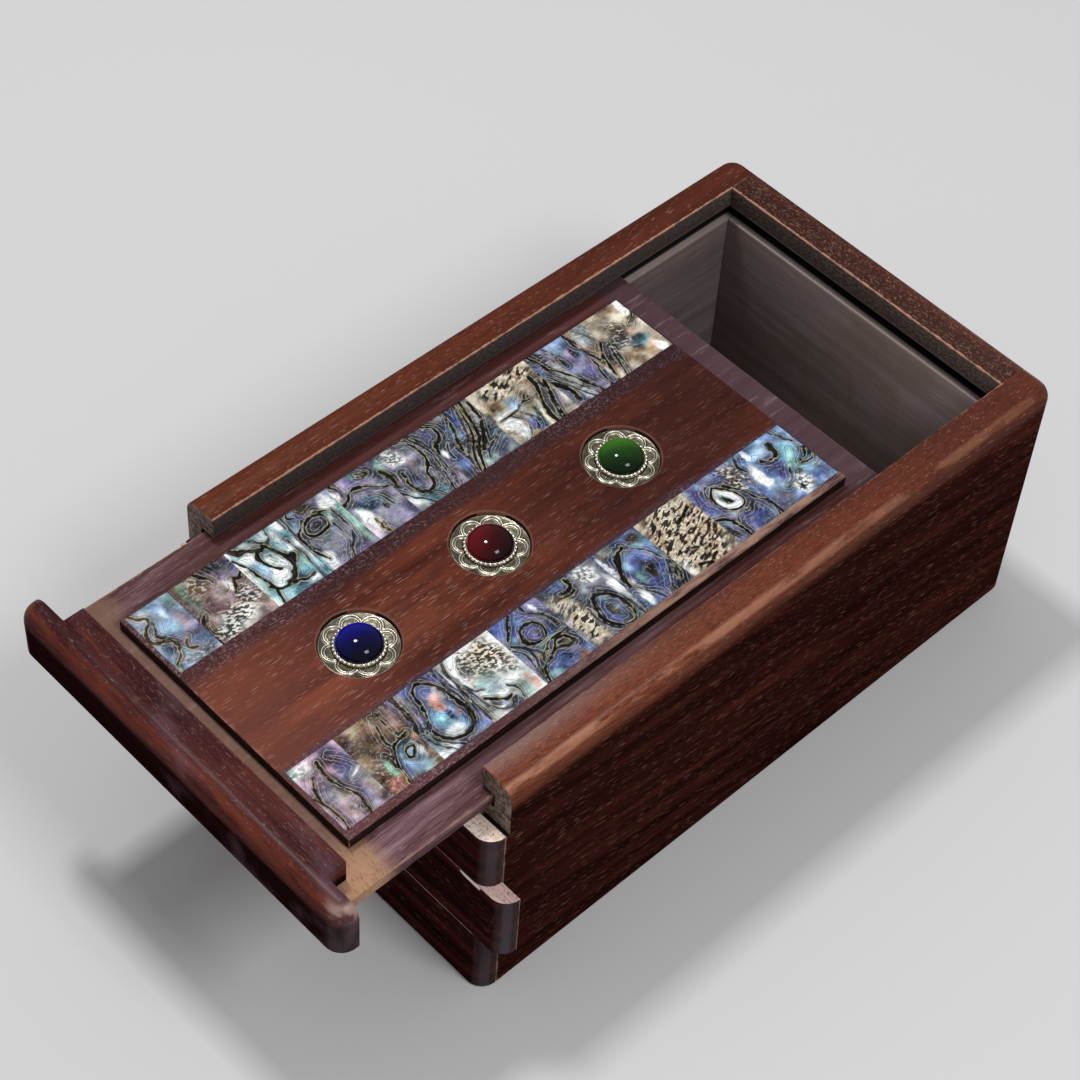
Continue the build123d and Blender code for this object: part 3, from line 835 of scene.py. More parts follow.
         (9, 2.1), (11.5, 1.7)])],
        [(11, 5.1, 2, 1, 0.3)],
        [],
    ),
    "left_shell_tile_8": (
        ("cream", "tan"),
        [(2, 13.6, 3, 3.5, "tan", 0.7), (3, 6.6, 4, 5.5, "cream", 0.9), (6.5, 2.9, 1.7, 2.2, "gold", 0.7),
         (6.6, 1.9, 0.6, 0.6, "olive", 0.95), (11.6, 2.6, 3.5, 2.2, "pearl", 0.9),
         (8.5, 7.1, 2.2, 2.3, "sky", 0.8), (15.2, 7.2, 2.6, 2.4, "periwinkle", 1),
         (15.8, 8.5, 2, 1.2, "navy", 0.8), (13.5, 9.3, 2.2, 0.8, "black", 0.9),
         (11.5, 15.1, 5.5, 1.7, "lavender", 0.8), (13.5, 12.6, 4.5, 1.2, "slate", 0.7),
         (16, 3.1, 2, 1.7, "pearl", 0.7), (8.5, 0.3, 2, 0.7, "black", 0.6),
         (8, 10.1, 2, 0.9, "olive", 0.6)],
        [(0.8, "black", [(4.4, 15), (7.5, 14.5), (10.5, 13), (13.5, 11.6), (18.1, 11)]),
         (0.7, "black", [(4.9, 17.1), (8.5, 16.4), (12.6, 14.7), (18.1, 13)]),
         (0.35, "olive", [(9.3, 10.5), (9, 8.1), (10, 6), (10.3, 1.4)]), (0.3, "olive", [(6.9, 11.2),
         (8.5, 9.6), (9.5, 8.1)]), (0.4, "slate", [(6, 16), (10.5, 15.1), (14.5, 13.5), (18.1, 12.4)]),
         (0.3, "slate", [(10.5, 4.3), (13.5, 5.6), (16.5, 4.6), (18.1, 3.1)]), (0.3, "navy", [(11.6, 6.6),
         (14, 7.6), (18.1, 5.6)])],
        [(13.5, 2.1, 4, 2, 0.35)],
        [(2.1, 13.6, 2.6, 3.7, 1), (2.6, 6.5, 3.3, 5, 1), (4.5, 1.6, 2, 2, 0.5)],
    ),
    "left_shell_tile_9": (
        ("periwinkle", "lavender"),
        [(10, 8.2, 7.5, 2, "lavender", 0.8), (11, 8.7, 3, 1.5, "violet", 0.6),
         (2, 7.2, 2.5, 1.8, "sky", 0.7), (5.5, 10.3, 2, 0.9, "black", 1), (5, 5.2, 2.2, 1.5, "rose", 0.7),
         (2.5, 2.6, 3.2, 1.4, "black", 0.75), (11.5, 4.3, 7, 1.5, "pearl", 0.9),
         (15, 1.4, 3.5, 1.5, "slate", 0.8), (8.5, 1.1, 3, 0.8, "grey", 0.6),
         (15.5, 11.2, 3, 0.9, "slate", 0.6), (1.5, 0.7, 2, 0.7, "slate", 0.7)],
        [(0.55, "black", [(0, 11.7), (4.4, 12.1), (7.5, 12.3), (11, 11.9), (13.5, 10.7), (18.1, 10.1)]),
         (0.4, "black", [(5.2, 2), (8.5, 4.2), (12.6, 5.8), (18.1, 7.5)]), (0.3, "slate", [(6, 1.1),
         (10.1, 3.1), (14.1, 4.8), (18.1, 6.3)]), (0.3, "slate", [(7.1, 0.5), (11.6, 2.5), (15, 3.6),
         (18.1, 4.9)]), (0.9, "black", [(8.8, -0.6), (11, 1.1), (14, 1.9), (16.3, 1.6)]),
         (0.7, "black", [(0, 1.1), (3, 1.9), (5.6, 2.1)]), (0.25, "slate", [(0.3, 5.2), (3.5, 6.4),
         (7.5, 6.2)])],
        [(3, 3.1, 2.5, 1.5, 0.4), (11, 4.2, 6.5, 1.3, 0.3)],
        [],
    ),
    "left_shell_tile_10": (
        ("tan", "cream"),
        [(3.5, 7.7, 4.5, 5, "cream", 0.7), (2, 15.9, 2.7, 1.1, "pearl", 0.8),
         (5.8, 15.7, 1.2, 1.9, "olive", 0.9), (6.5, 10.2, 2.8, 2.5, "brown", 0.45),
         (12.5, 11.9, 2, 3.3, "teal_dark", 0.8), (13.5, 13.2, 1.5, 1.5, "teal", 0.5),
         (16.9, 14.9, 1.6, 1.3, "pearl", 0.95), (16, 14.2, 1.3, 0.7, "peach", 0.7),
         (3, 2.9, 4, 2.3, "sky", 0.55), (12, 3.8, 4.5, 1.2, "navy", 0.75),
         (9.2, 5.2, 2.3, 1.5, "slate", 0.8), (15.8, 0.2, 2.5, 0.9, "cream", 0.85),
         (15.5, 7.7, 2.8, 3, "tan", 0.6), (10, 8.2, 1.7, 3, "grey", 0.6), (1.5, 0.7, 2, 0.7, "tan", 0.5)],
        [(0.6, "navy", [(0, -0.7), (3, 0.2), (6, 0.1), (8.5, 0.6), (11.1, 0.9)]),
         (0.55, "black", [(7.4, 4.8), (10, 2.6), (13.5, 1.6), (18.1, 0.1)]), (0.35, "navy", [(9.9, 5.5),
         (13.5, 4.2), (18.1, 2.5)]), (0.5, "olive", [(4.5, 16.9), (6, 15.6), (7, 13.7)]),
         (0.3, "slate", [(8.3, 7), (10.5, 6), (13.5, 5.2), (18.1, 4)]), (0.25, "slate", [(0.5, 2.1),
         (3.5, 3.6), (6, 4.2)])],
        [(9.9, 8.4, 2.2, 3.8, 0.7), (6, 10.4, 2.6, 2.2, 0.6), (3, 3.6, 4, 2.5, 0.3)],
        [],
    ),
    "right_shell_tile_1": (
        ("pink", "lavender"),
        [(4.5, 9.7, 4, 2.2, "violet", 0.8), (3, 8.4, 2.6, 2.4, "brown", 0.55),
         (14, 11.2, 4.5, 1.1, "tan", 0.7), (8, 5.7, 6, 1.2, "brown", 0.75),
         (13.5, 8.4, 4.5, 1.5, "lavender", 0.8), (17.5, 7, 2, 1.5, "rose", 0.7),
         (13.5, 4.5, 5, 1.7, "tan", 0.55), (14.5, 2.2, 4.5, 1.7, "pink", 0.6),
         (2, 2.2, 1.8, 2.4, "pearl", 0.85), (10, 3.2, 3, 1.3, "grey", 0.55),
         (1.5, 0.5, 1.7, 0.9, "sea", 0.7), (7.5, 8, 2.5, 1, "slate", 0.5)],
        [(0.35, "gold", [(8.5, 0.2), (11.6, 0.9), (15.5, 1.1), (18.9, 0.7)]),
         (0.25, "pearl", [(7.8, 11.8), (8.8, 10.2), (9.1, 9.2)]), (0.4, "olive", [(2.1, 6.2), (6, 5.2),
         (9.6, 6), (13.5, 7.3), (18.9, 6.3)]), (0.25, "olive", [(4.5, 3), (7, 1.6), (10.5, 0.8)]),
         (0.25, "violet", [(2.3, 8.8), (4.4, 10.4), (7.5, 11.8)])],
        [(2, 1.9, 1.8, 2.2, 0.5), (15, 5.5, 3.5, 1.3, 0.25)],
        [],
    ),
    "right_shell_tile_2": (
        ("tan", "brown"),
        [(4, 7.3, 4.5, 5.5, "tan", 0.8), (3, 11.1, 3.3, 2, "rose", 0.7), (4.5, 5.3, 3, 1.5, "brown", 0.4),
         (13, 8.8, 4.8, 2.8, "sky", 1), (15.5, 6.3, 3, 1.3, "periwinkle", 0.7),
         (17, 10.3, 2, 1.5, "teal", 0.4), (12.8, 3.9, 2.8, 1.1, "sea", 0.8),
         (17, 2.9, 2.2, 2.2, "peach", 0.7), (11, 1.9, 3.5, 1.3, "tan", 0.6),
         (13, 11.1, 2.5, 0.7, "pearl", 0.7)],
        [(0.45, "black", [(8.2, 11.8), (8.5, 9.6), (9.3, 7.8), (11.6, 6.2), (14.1, 5.2), (16.5, 4.8),
         (18.9, 4.2)]), (0.4, "black", [(11.3, 10.7), (12.1, 10.8), (13.1, 9.8), (13.8, 9.1), (13, 8.4),
         (11.6, 8.8), (11.1, 9.8), (11.3, 10.7)]), (0.22, "brown", [(0.9, 8.8), (4, 8.2), (6.9, 7.3),
         (8.5, 7.3)]), (0.2, "brown", [(0.5, 10.3), (3.5, 10.1), (8, 9.6)]), (0.3, "olive", [(10, 4.8),
         (11.6, 5.3), (13.5, 4.8)])],
        [(13, 2.1, 4.5, 1.7, 0.45), (3.5, 3.4, 3.5, 2, 0.2)],
        [],
    ),
    "right_shell_tile_3": (
        ("lavender", "periwinkle"),
        [(3, 10.7, 3, 1.5, "violet", 0.6), (10.5, 7.4, 5.2, 3.7, "sky", 0.9),
         (11, 5.7, 3.5, 2, "teal", 0.5), (6.8, 7.9, 2.3, 1.7, "peach", 0.9),
         (6, 6.7, 1.3, 0.8, "pink", 0.7), (10.5, 8.3, 2.1, 1, "navy", 0.85),
         (14.2, 6.2, 1.7, 2.4, "pearl", 0.8), (11.2, 10.2, 0.7, 0.5, "peach", 0.9),
         (5, 9.7, 2, 1, "cream", 0.6), (3.5, 2.6, 4, 1.5, "cream", 0.6), (5, 1.1, 3, 0.7, "gold", 0.4),
         (16.2, 2.6, 2.5, 2.5, "pearl", 1), (13.5, 1.1, 3, 1.1, "teal", 0.7),
         (17.5, 10.2, 1.2, 3, "grey", 0.6), (7.5, 2.9, 2, 1, "lavender", 0.6),
         (17.5, 0.1, 1.5, 1, "pearl", 0.8)],
        [(0.65, "olive", [(0.8, 7.5), (1.8, 9.3), (4, 10.7), (7.5, 11.3), (12.1, 11.8), (15.1, 10.6),
         (16.3, 7.9), (15.6, 4.8), (13.3, 3), (10.6, 2.9), (7.6, 4.3), (5, 5.3), (2.6, 5.5), (1.4, 6.5),
         (0.8, 7.5)]), (0.7, "brown", [(0.2, 1.8), (3, 1.6), (6, 1.6), (8.5, 1.1), (10.3, -0.2)]),
         (0.35, "slate", [(0.2, 12.2), (3, 11.9), (6.5, 12.3), (11, 12.6)]), (0.3, "slate", [(10.5, 1.6),
         (13.5, 2), (16, 3.6), (18.1, 5.7)]), (0.3, "slate", [(11, 0.6), (14.5, 1.2), (18.1, 3.6)]),
         (0.25, "peach", [(6, 6.7), (7.5, 7.8), (8.7, 8.3)])],
        [(4, 2.2, 3.5, 1.2, 0.35)],
        [],
    ),
    "right_shell_tile_4": (
        ("cream", "pearl"),
        [(5, 8.4, 5.2, 6, "cream", 0.9), (3.5, 9.4, 2.5, 2.2, "gold", 0.35),
         (7.5, 11.9, 3, 2, "rose", 0.4), (11, 10.4, 3, 2.5, "pearl", 0.7),
         (15.5, 12.9, 2.8, 0.8, "peach", 0.7), (16, 10.4, 2.5, 1.7, "sea", 0.6),
         (10.5, 5.4, 3, 3, "teal", 0.6), (13, 3.1, 3, 1.1, "pearl", 0.9),
         (14.4, 3.9, 1.1, 1.4, "navy", 0.85), (15.5, 5.9, 0.8, 1.7, "sky", 0.9),
         (17.3, 5.9, 1.3, 3.3, "slate", 0.8), (1.5, 3.9, 1.7, 1.2, "pearl", 0.9),
         (7.5, 2.4, 3, 0.7, "pearl", 0.8), (5, 4.9, 2.5, 1.2, "grey", 0.5),
         (8.5, 1, 7.5, 0.5, "slate", 0.7)],
        [(0.6, "slate", [(0, 2), (2.5, 1.1), (6, 0.6), (11, 0.3), (18.8, 0.2)]),
         (0.45, "black", [(12.4, 2.7), (14, 4.3), (15.5, 6.3), (15.2, 7.5)]), (0.4, "slate", [(16, 7.8),
         (17.2, 5.8), (16.4, 3.5), (13.5, 2.1), (8.5, 1.5)]), (0.3, "slate", [(7.3, 1.6), (9.9, 2.5),
         (10.8, 4)]), (0.3, "slate", [(1.5, 4.9), (3.5, 3.4), (6, 3)]), (0.25, "slate", [(13, 8.4),
         (14.5, 9.4), (17.5, 8.9)])],
        [(5, 9.9, 5.2, 4.5, 1), (4, 5.9, 4.5, 2.5, 0.9), (8.5, 11.9, 3, 3, 0.8)],
        [],
    ),
    "right_shell_tile_5": (
        ("periwinkle", "lavender"),
        [(2.8, 4.5, 3.1, 3.5, "periwinkle", 0.9), (6, 11.3, 6, 1.3, "slate", 0.7),
         (2, 10.8, 1.5, 0.7, "pearl", 0.6), (6.8, 6.5, 2.3, 2.4, "violet", 0.85),
         (6.5, 7.3, 1.3, 1.1, "grey", 0.7), (12.5, 9.9, 1.3, 2.1, "olive", 0.95),
         (16, 6.5, 2.3, 3.1, "periwinkle", 0.9), (16, 7.8, 1.5, 1.5, "navy", 0.4),
         (17.7, 10.9, 1.3, 1.4, "gold", 0.7), (10.1, 7.8, 0.6, 4, "sea", 0.8),
         (10, 3.8, 2.5, 1.7, "slate", 0.6), (7.5, 1.8, 3, 1.1, "teal", 0.6),
         (17.5, 3.3, 1.3, 2, "sea", 0.5), (15, 12.3, 2.5, 0.8, "slate", 0.5)],
        [(0.5, "black", [(6.8, 9.3), (4.9, 8.6), (4.1, 6.8), (4.8, 4.7), (6.5, 3.8), (8.4, 4.4),
         (9.3, 6.2), (8.8, 8.3), (6.8, 9.3)]), (0.4, "black", [(10.5, 12.8), (10.3, 9.3), (10.5, 7.3),
         (11.7, 5.7), (12, 3.7)]), (0.4, "black", [(11.3, 11.3), (11, 8.8), (12.5, 7.2), (13.5, 5.2),
         (14.5, 2.7), (18.5, 0.6)]), (0.5, "olive", [(11.7, 11.2), (13.5, 11.7), (13.9, 9.8), (12.8, 8.3),
         (13.1, 5.7)]), (0.45, "black", [(0.2, 5.4), (2, 3.8), (3.9, 2.3), (5.2, 1)]),
         (0.4, "slate", [(6.5, 0.7), (8.5, 2.7), (11, 2.9), (13.5, 1.8), (18.5, 0)]),
         (0.3, "slate", [(7.5, 0.3), (10, 1.7), (13.5, 0.8)]), (0.35, "slate", [(0.3, 9), (2.5, 9.3),
         (4.5, 11.3), (8.5, 12.3)]), (0.3, "slate", [(9.5, 3.3), (11.5, 4.3), (13.5, 3.3)])],
        [],
        [],
    ),
    "right_shell_tile_6": (
        ("grey", "slate"),
        [(2.5, 11.6, 2.7, 3, "pearl", 0.9), (3, 6.1, 2.5, 3, "slate", 0.8),
         (1.5, 5.6, 1, 2, "periwinkle", 0.7), (13, 10.1, 5, 3.5, "slate", 0.7),
         (13, 8.8, 4, 1.5, "periwinkle", 0.8), (13, 10.3, 2.1, 0.9, "olive", 0.98),
         (11, 14.5, 6, 1.1, "pearl", 0.9), (15, 13.6, 3, 0.7, "teal", 0.7),
         (8.5, 11.6, 1.5, 2, "sky", 0.7), (12, 3.6, 6.5, 3, "cream", 0.95),
         (16.5, 4.1, 2, 1.5, "tan", 0.6), (1.5, 1.1, 2, 1.2, "slate", 0.6),
         (5, 2.1, 2.5, 2, "cream", 0.8)],
        [(0.55, "black", [(7.9, 9.5), (9.3, 11.9), (12.3, 13.3), (15.5, 13.1), (17.9, 11.7), (17.3, 8.7),
         (13.7, 6.8), (10.5, 7.5), (8.5, 8.7), (7.9, 9.5)]), (0.35, "slate", [(7.3, 11.1), (9.5, 13.1),
         (13, 14.2), (18.5, 14.5)]), (0.4, "black", [(0.8, 7.5), (2.5, 7.8), (3.5, 6.1), (3, 4.1)]),
         (0.3, "olive", [(4, 7.5), (4.7, 5.6), (4.1, 3.6)]), (0.35, "slate", [(9.5, 6.1), (13, 5.9),
         (16.5, 7.1), (18.5, 9.1)]), (0.3, "slate", [(9, 8.8), (11, 8), (13.5, 7.5)])],
        [(2.5, 11.6, 2.7, 3, 0.8)],
        [(12.5, 3.4, 6.5, 2.9, 1), (6, 2.6, 3, 2.5, 0.8)],
    ),
    "right_shell_tile_7": (
        ("periwinkle", "slate"),
        [(10.2, 7.3, 5.9, 3.8, "periwinkle", 1), (10.5, 7.5, 4.2, 2.4, "slate", 0.5),
         (10.6, 7.5, 2.5, 1.3, "olive", 0.95), (9.5, 7.8, 1, 0.7, "brown", 0.7),
         (2.3, 10.2, 1.8, 2, "olive", 0.9), (3, 6, 2.5, 2.3, "slate", 0.8),
         (1.5, 2.8, 1.7, 2, "tan", 0.5), (6.5, 3.8, 2, 1.3, "sky", 0.8),
         (8.5, 11.8, 2.5, 0.8, "teal", 0.6), (13.8, 1.8, 4.3, 1.1, "pearl", 0.9),
         (17, 5.8, 1.7, 1.5, "lavender", 0.8), (5, 0.8, 4, 0.7, "pearl", 0.6),
         (11.5, 4.8, 2, 1, "sea", 0.5), (4.5, 9.8, 1, 1.5, "sea", 0.6)],
        [(0.95, "black", [(2.4, 6.8), (3.5, 4.7), (6, 2.8), (8.5, 1.4), (11.3, 0.9)]),
         (0.45, "slate", [(11.4, 12.1), (14.5, 11.1), (18.5, 8.1)]), (0.35, "slate", [(13, 12.3),
         (16, 11.1), (18.7, 9.3)]), (0.35, "slate", [(11.5, 1.1), (14, 2.8), (16, 4.2), (18.7, 4.8)]),
         (0.3, "slate", [(3.5, 7.2), (5, 9.2), (7.5, 11), (10, 11.5)]), (0.25, "slate", [(10, 12.2),
         (13.5, 10.5), (16.5, 8.2), (18.5, 6.8)])],
        [(5.5, 1, 4.5, 0.8, 0.4)],
        [],
    ),
    "right_shell_tile_8": (
        ("cream", "tan"),
        [(3.5, 7.5, 3, 4.5, "cream", 0.8), (8.5, 11.6, 3.5, 3, "tan", 0.6),
         (13.5, 5, 4, 3.5, "cream", 0.8), (17, 10.6, 2, 3, "rose", 0.5), (2.5, 2.5, 2.5, 2, "grey", 0.5),
         (15.5, 1.1, 3, 1, "pearl", 0.7), (10.5, 7.5, 2.5, 2.5, "peach", 0.35)],
        [(0.9, "black", [(3.8, 12.6), (4.8, 10.6), (5.5, 8.1)]), (0.8, "black", [(13, 6.5), (11.6, 4.2)]),
         (0.7, "black", [(17.8, 6), (16.5, 3.5)])],
        [],
        [(9, 7, 11, 8.5, 1.3)],
    ),
    "right_shell_tile_9": (
        ("periwinkle", "lavender"),
        [(15.8, 8, 3.5, 3.7, "periwinkle", 0.9), (17.5, 10.7, 1.5, 1.5, "violet", 0.6),
         (4, 2.1, 4.5, 1.7, "violet", 0.9), (1.5, 6.2, 1.7, 2, "lavender", 0.8),
         (4.5, 11.2, 4.8, 1.6, "cream", 0.9), (7.8, 6, 4.4, 2.5, "pearl", 0.95),
         (7.9, 6.3, 2.4, 0.9, 30, "black", 1), (13, 7.2, 1.5, 2, "slate", 0.6),
         (13, 9.2, 1.5, 1.3, "brown", 0.5), (1.5, 3.7, 1.5, 0.7, "sky", 0.7),
         (14.8, 0.5, 1.8, 0.9, "black", 0.95), (12.8, 1.2, 1.5, 1.1, "sky", 0.6),
         (16, 3.7, 2.5, 1, "slate", 0.5), (8.5, 3.2, 2.5, 0.7, "periwinkle", 0.7)],
        [(0.4, "black", [(3.4, 5.9), (5.4, 7.7), (8, 9), (10.5, 8.8), (11.2, 6.7), (10.1, 4.6),
         (7.5, 3.6), (4.9, 4.3), (3.4, 5.9)]), (0.5, "black", [(4.5, 8.2), (7, 9.7), (8.5, 10.6),
         (11.5, 11.3), (14, 12.8), (18.5, 13.2)]), (0.85, "black", [(10.4, 0), (11.3, 1.8), (13.5, 2.8),
         (18.5, 3.2)]), (0.35, "slate", [(13.5, 12.2), (15.5, 12.7), (18.5, 11.9)]),
         (0.25, "slate", [(11.6, 9.7), (12.5, 7.7), (12, 5.2), (14, 3.7)]), (0.3, "slate", [(2.5, 5.2),
         (3.5, 3.7), (6.5, 2.9)])],
        [(4.5, 11.2, 4.6, 1.7, 0.95), (1, 9.7, 1, 1.5, 0.6)],
        [],
    ),
    "right_shell_tile_10": (
        ("sky", "periwinkle"),
        [(3, 8.2, 3.2, 3, "sky", 0.8), (9.2, 8, 4.3, 3, "periwinkle", 1), (10.5, 6, 3, 2, "navy", 0.35),
         (7.5, 12.5, 4, 2.2, "teal", 0.7), (8.2, 3.2, 4, 1.4, "pearl", 1),
         (1.5, 4.8, 1.7, 1.1, "pearl", 0.9), (1.5, 3, 1.5, 1, "navy", 0.6),
         (4.4, 10.7, 1.7, 0.8, "olive", 0.95), (15, 9, 3, 2.7, "pearl", 0.9),
         (15.8, 8.5, 1, 0.8, "black", 0.95), (5, 0.2, 4.5, 1.3, "tan", 0.8),
         (15.8, 2.5, 2.8, 2.3, "rose", 0.5), (8.5, 15.8, 3, 0.9, "black", 0.6),
         (15, 15.5, 3, 1, "grey", 0.6), (1.5, 14.5, 1.7, 1.1, "grey", 0.7),
         (11, 11.5, 2, 1.5, "sea", 0.5), (12.2, 10.8, 0.8, 1, "olive", 0.7),
         (10.5, 8, 2, 2, "violet", 0.4)],
        [(0.95, "olive", [(2.7, 11), (5, 10.5), (6, 9.3), (6, 7.5), (5, 6.2)]),
         (0.5, "black", [(8.3, 16.4), (9.8, 15), (10.3, 13.2)]), (0.5, "olive", [(10.8, 16.4),
         (11.6, 14.4), (11.1, 13)]), (0.35, "slate", [(0.3, 13.4), (2.5, 14.2), (5.2, 15.8)]),
         (0.35, "navy", [(0.1, 2.4), (2.5, 1.4), (5, 1.7)]), (0.25, "slate", [(10, 10), (12.5, 8),
         (13.5, 5.5)]), (0.3, "sea", [(6.5, 13.5), (8.5, 12), (10, 10)])],
        [(15, 9, 2.8, 2.5, 0.9), (4.5, -0.2, 4, 1.5, 0.9)],
        [],
    ),
}


def smooth_mesh(name, points, faces):
    """A smooth mesh from its points, in mm, and its faces."""
    mesh = bpy.data.meshes.new(name)
    mesh.from_pydata((np.array(points) * mm).tolist(), [], faces)
    mesh.polygons.foreach_set("use_smooth", [True] * len(mesh.polygons))
    return mesh


def keep(mesh, label, values, kind="FLOAT"):
    """Keeps a value or a colour for every point of a mesh, for its material to read."""
    layer = mesh.attributes.new(label, kind, "POINT")
    layer.data.foreach_set("color" if kind == "FLOAT_COLOR" else "value", values.astype(np.float32).ravel())


def cloud(x, y, size, seed):
    """Smooth random values between -1 and 1 over places in mm."""
    dice = np.random.default_rng(seed).uniform(-1, 1, (64, 64))
    x, y = x / size, y / size
    i, j = np.floor(x).astype(int), np.floor(y).astype(int)
    s, t = x - i, y - j
    s, t = s * s * (3 - 2 * s), t * t * (3 - 2 * t)
    near = dice[i % 64, j % 64] * (1 - s) + dice[(i + 1) % 64, j % 64] * s
    far = dice[i % 64, (j + 1) % 64] * (1 - s) + dice[(i + 1) % 64, (j + 1) % 64] * s
    return near * (1 - t) + far * t


def flowing(points, steps=6):
    """A smooth line through given points."""
    p = np.array(points, float)
    p = np.vstack([2 * p[0] - p[1], p, 2 * p[-1] - p[-2]])
    made = []
    for a, b, c, d in zip(p, p[1:], p[2:], p[3:]):
        for t in np.arange(steps) / steps:
            made.append(0.5 * (2 * b + (c - a) * t + (2 * a - 5 * b + 4 * c - d) * t * t
                               + (3 * b - a - 3 * c + d) * t ** 3))
    return np.array(made + [p[-2]])


def gap_to_line(u, v, points):
    """The distance from every place to a drawn line, and which side of it the place is on."""
    gap, side = np.full(u.shape, 1e3), np.zeros(u.shape)
    for (au, av), (bu, bv) in zip(points, points[1:]):
        du, dv = bu - au, bv - av
        t = np.clip(((u - au) * du + (v - av) * dv) / (du * du + dv * dv + 1e-9), 0, 1)
        away = np.hypot(u - au - t * du, v - av - t * dv)
        side = np.where(away < gap, np.sign(du * (v - av) - dv * (u - au)), side)
        gap = np.minimum(gap, away)
    return gap, side


def patch(u, v, middle_u, middle_v, half_u, half_v, turn=0):
    """How much of a patch is at every place: whole in the middle, soft at its edge."""
    du, dv = u - middle_u, v - middle_v
    cosine, sine = math.cos(math.radians(turn)), math.sin(math.radians(turn))
    out = np.hypot((du * cosine + dv * sine) / half_u, (dv * cosine - du * sine) / half_v)
    reach = np.clip((1.3 - out) / 0.8, 0, 1)
    return reach * reach * (3 - 2 * reach)


def over(tint, key, amount):
    """Lays one of the shell's tones over a tile's tints, by an amount at every place."""
    amount = amount[..., None]
    return tint * (1 - amount) + np.array(tone(shell_tones[key])[:3]) * amount


def shell_marks(x, y, u, v, grounds, washes, lines, crust, flakes, seed):
    """A tile's tints, the distance to its nearest line, that line's darkness, its crust and its flakes."""
    wide, fine, other, small = (cloud(x, y, size, seed + k) for k, size in enumerate((2.6, 0.8, 2.6, 0.8)))
    wash_u, wash_v = u + 0.55 * wide + 0.22 * fine, v + 0.55 * other + 0.22 * small
    line_u, line_v = u + 0.16 * wide + 0.10 * fine, v + 0.16 * other + 0.10 * small
    tint = over(np.full(u.shape + (3,), tone(shell_tones[grounds[0]])[:3]), grounds[1],
                np.clip(0.5 + 0.8 * cloud(x, y, 3.4, seed + 4), 0, 1))
    for *place, key, strength in washes:
        tint = over(tint, key, np.clip(strength * patch(wash_u, wash_v, *place), 0, 1))
    for key, drift in (("sea", 5), ("violet", 6), ("pink", 7)):
        tint = over(tint, key, 0.30 * np.clip(cloud(x, y, 1.9, seed + drift) - 0.2, 0, 1))
    edge, darkness = np.full(u.shape, 4.0), np.zeros(u.shape)
    for width, key, points in lines:
        gap, side = gap_to_line(line_u, line_v, flowing(points))
        gap = gap - 0.48 * width * (1 + 0.6 * small + 0.7 * other)
        near = np.clip(gap, 0, 9)
        deep = line_darkness.get(key, 0.0)
        tint = over(tint, "black", np.where(side > 0, 0.62 * np.exp(-near / 0.75), 0) * deep)
        fringe, spread = ("olive", 0.20) if key == "black" else (key, 0.30)
        tint = over(tint, fringe, 0.75 * np.exp(-near / spread))
        nearer = gap < edge
        edge = np.where(nearer, gap, edge)
        darkness = np.where(nearer, deep, darkness)
    shares = []
    for marks in (crust, flakes):
        shares.append(np.zeros(u.shape))
        for *place, strength in marks:
            shares[-1] = np.maximum(shares[-1], strength * patch(wash_u, wash_v, *place))
    glow = np.exp(0.62 * cloud(x, y, 2.3, seed + 8) + 0.24 * cloud(x, y, 1.0, seed + 9))[..., None]
    lit = tint * glow / mid_tone
    tint = mid_tone * np.where(lit < 1, lit ** 1.75, lit ** 1.3)
    plain = (tint @ np.array([0.3, 0.55, 0.15]))[..., None]
    tint = np.clip(0.76 * tint + 0.24 * plain * np.array([0.97, 1.0, 1.06]), 0.003, 0.93)
    return tint, edge, darkness, *shares, wide


def shell_tile(node, seed, drawn):
    """One tile: a fine grid over its top, slightly sunk along the dark lines, with sides and a bottom."""
    low, high = (np.array(corner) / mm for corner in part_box(node))
    columns, rows = (round((high[k] - low[k]) / grid_cell) for k in (0, 1))
    x, y = np.meshgrid(np.linspace(low[0], high[0], columns + 1), np.linspace(low[1], high[1], rows + 1))
    u, v = x - low[0], y - low[1]
    tint, edge, darkness, grit, flake, wide = shell_marks(x, y, u, v, *drawn, seed)
    rim = np.minimum(np.minimum(u, high[0] - x), np.minimum(v, high[1] - y))
    worn_rim = 0.03 * np.clip(1 - rim / 0.2, 0, 1)
    sunk_line = 0.035 * np.clip(1 - edge / 0.15, 0, 1) * darkness
    z = high[2] - worn_rim - sunk_line + 0.012 * wide - 0.014
    top = np.stack([x, y, z], axis=-1).reshape(-1, 3)
    count = len(top)
    number = np.arange(count).reshape(rows + 1, columns + 1)
    ring = np.concatenate([number[0, :-1], number[:-1, -1], number[-1, :0:-1], number[:0:-1, 0]])
    foot = top[ring].copy()
    foot[:, 2] = low[2]
    quads = np.stack([number[:-1, :-1], number[:-1, 1:], number[1:, 1:], number[1:, :-1]], axis=-1)
    faces = quads.reshape(-1, 4).tolist()
    turn = len(ring)
    for k in range(turn):
        following = (k + 1) % turn
        faces.append((int(ring[k]), count + k, count + following, int(ring[following])))
    faces.append(tuple(count + k for k in reversed(range(turn))))
    mesh = smooth_mesh(node + "_polished", np.vstack([top, foot]), faces)
    colours = np.concatenate([tint, np.ones(u.shape + (1,))], axis=-1).reshape(count, 4)
    keep(mesh, "tint", np.vstack([colours, colours[ring]]), "FLOAT_COLOR")
    for label, values in (("edge", edge), ("darkness", darkness), ("grit", grit), ("flake", flake)):
        flat = values.ravel()
        keep(mesh, label, np.concatenate([flat, flat[ring]]))
    piece = placed(node + "_polished", mesh)
    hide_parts(node)
    return piece


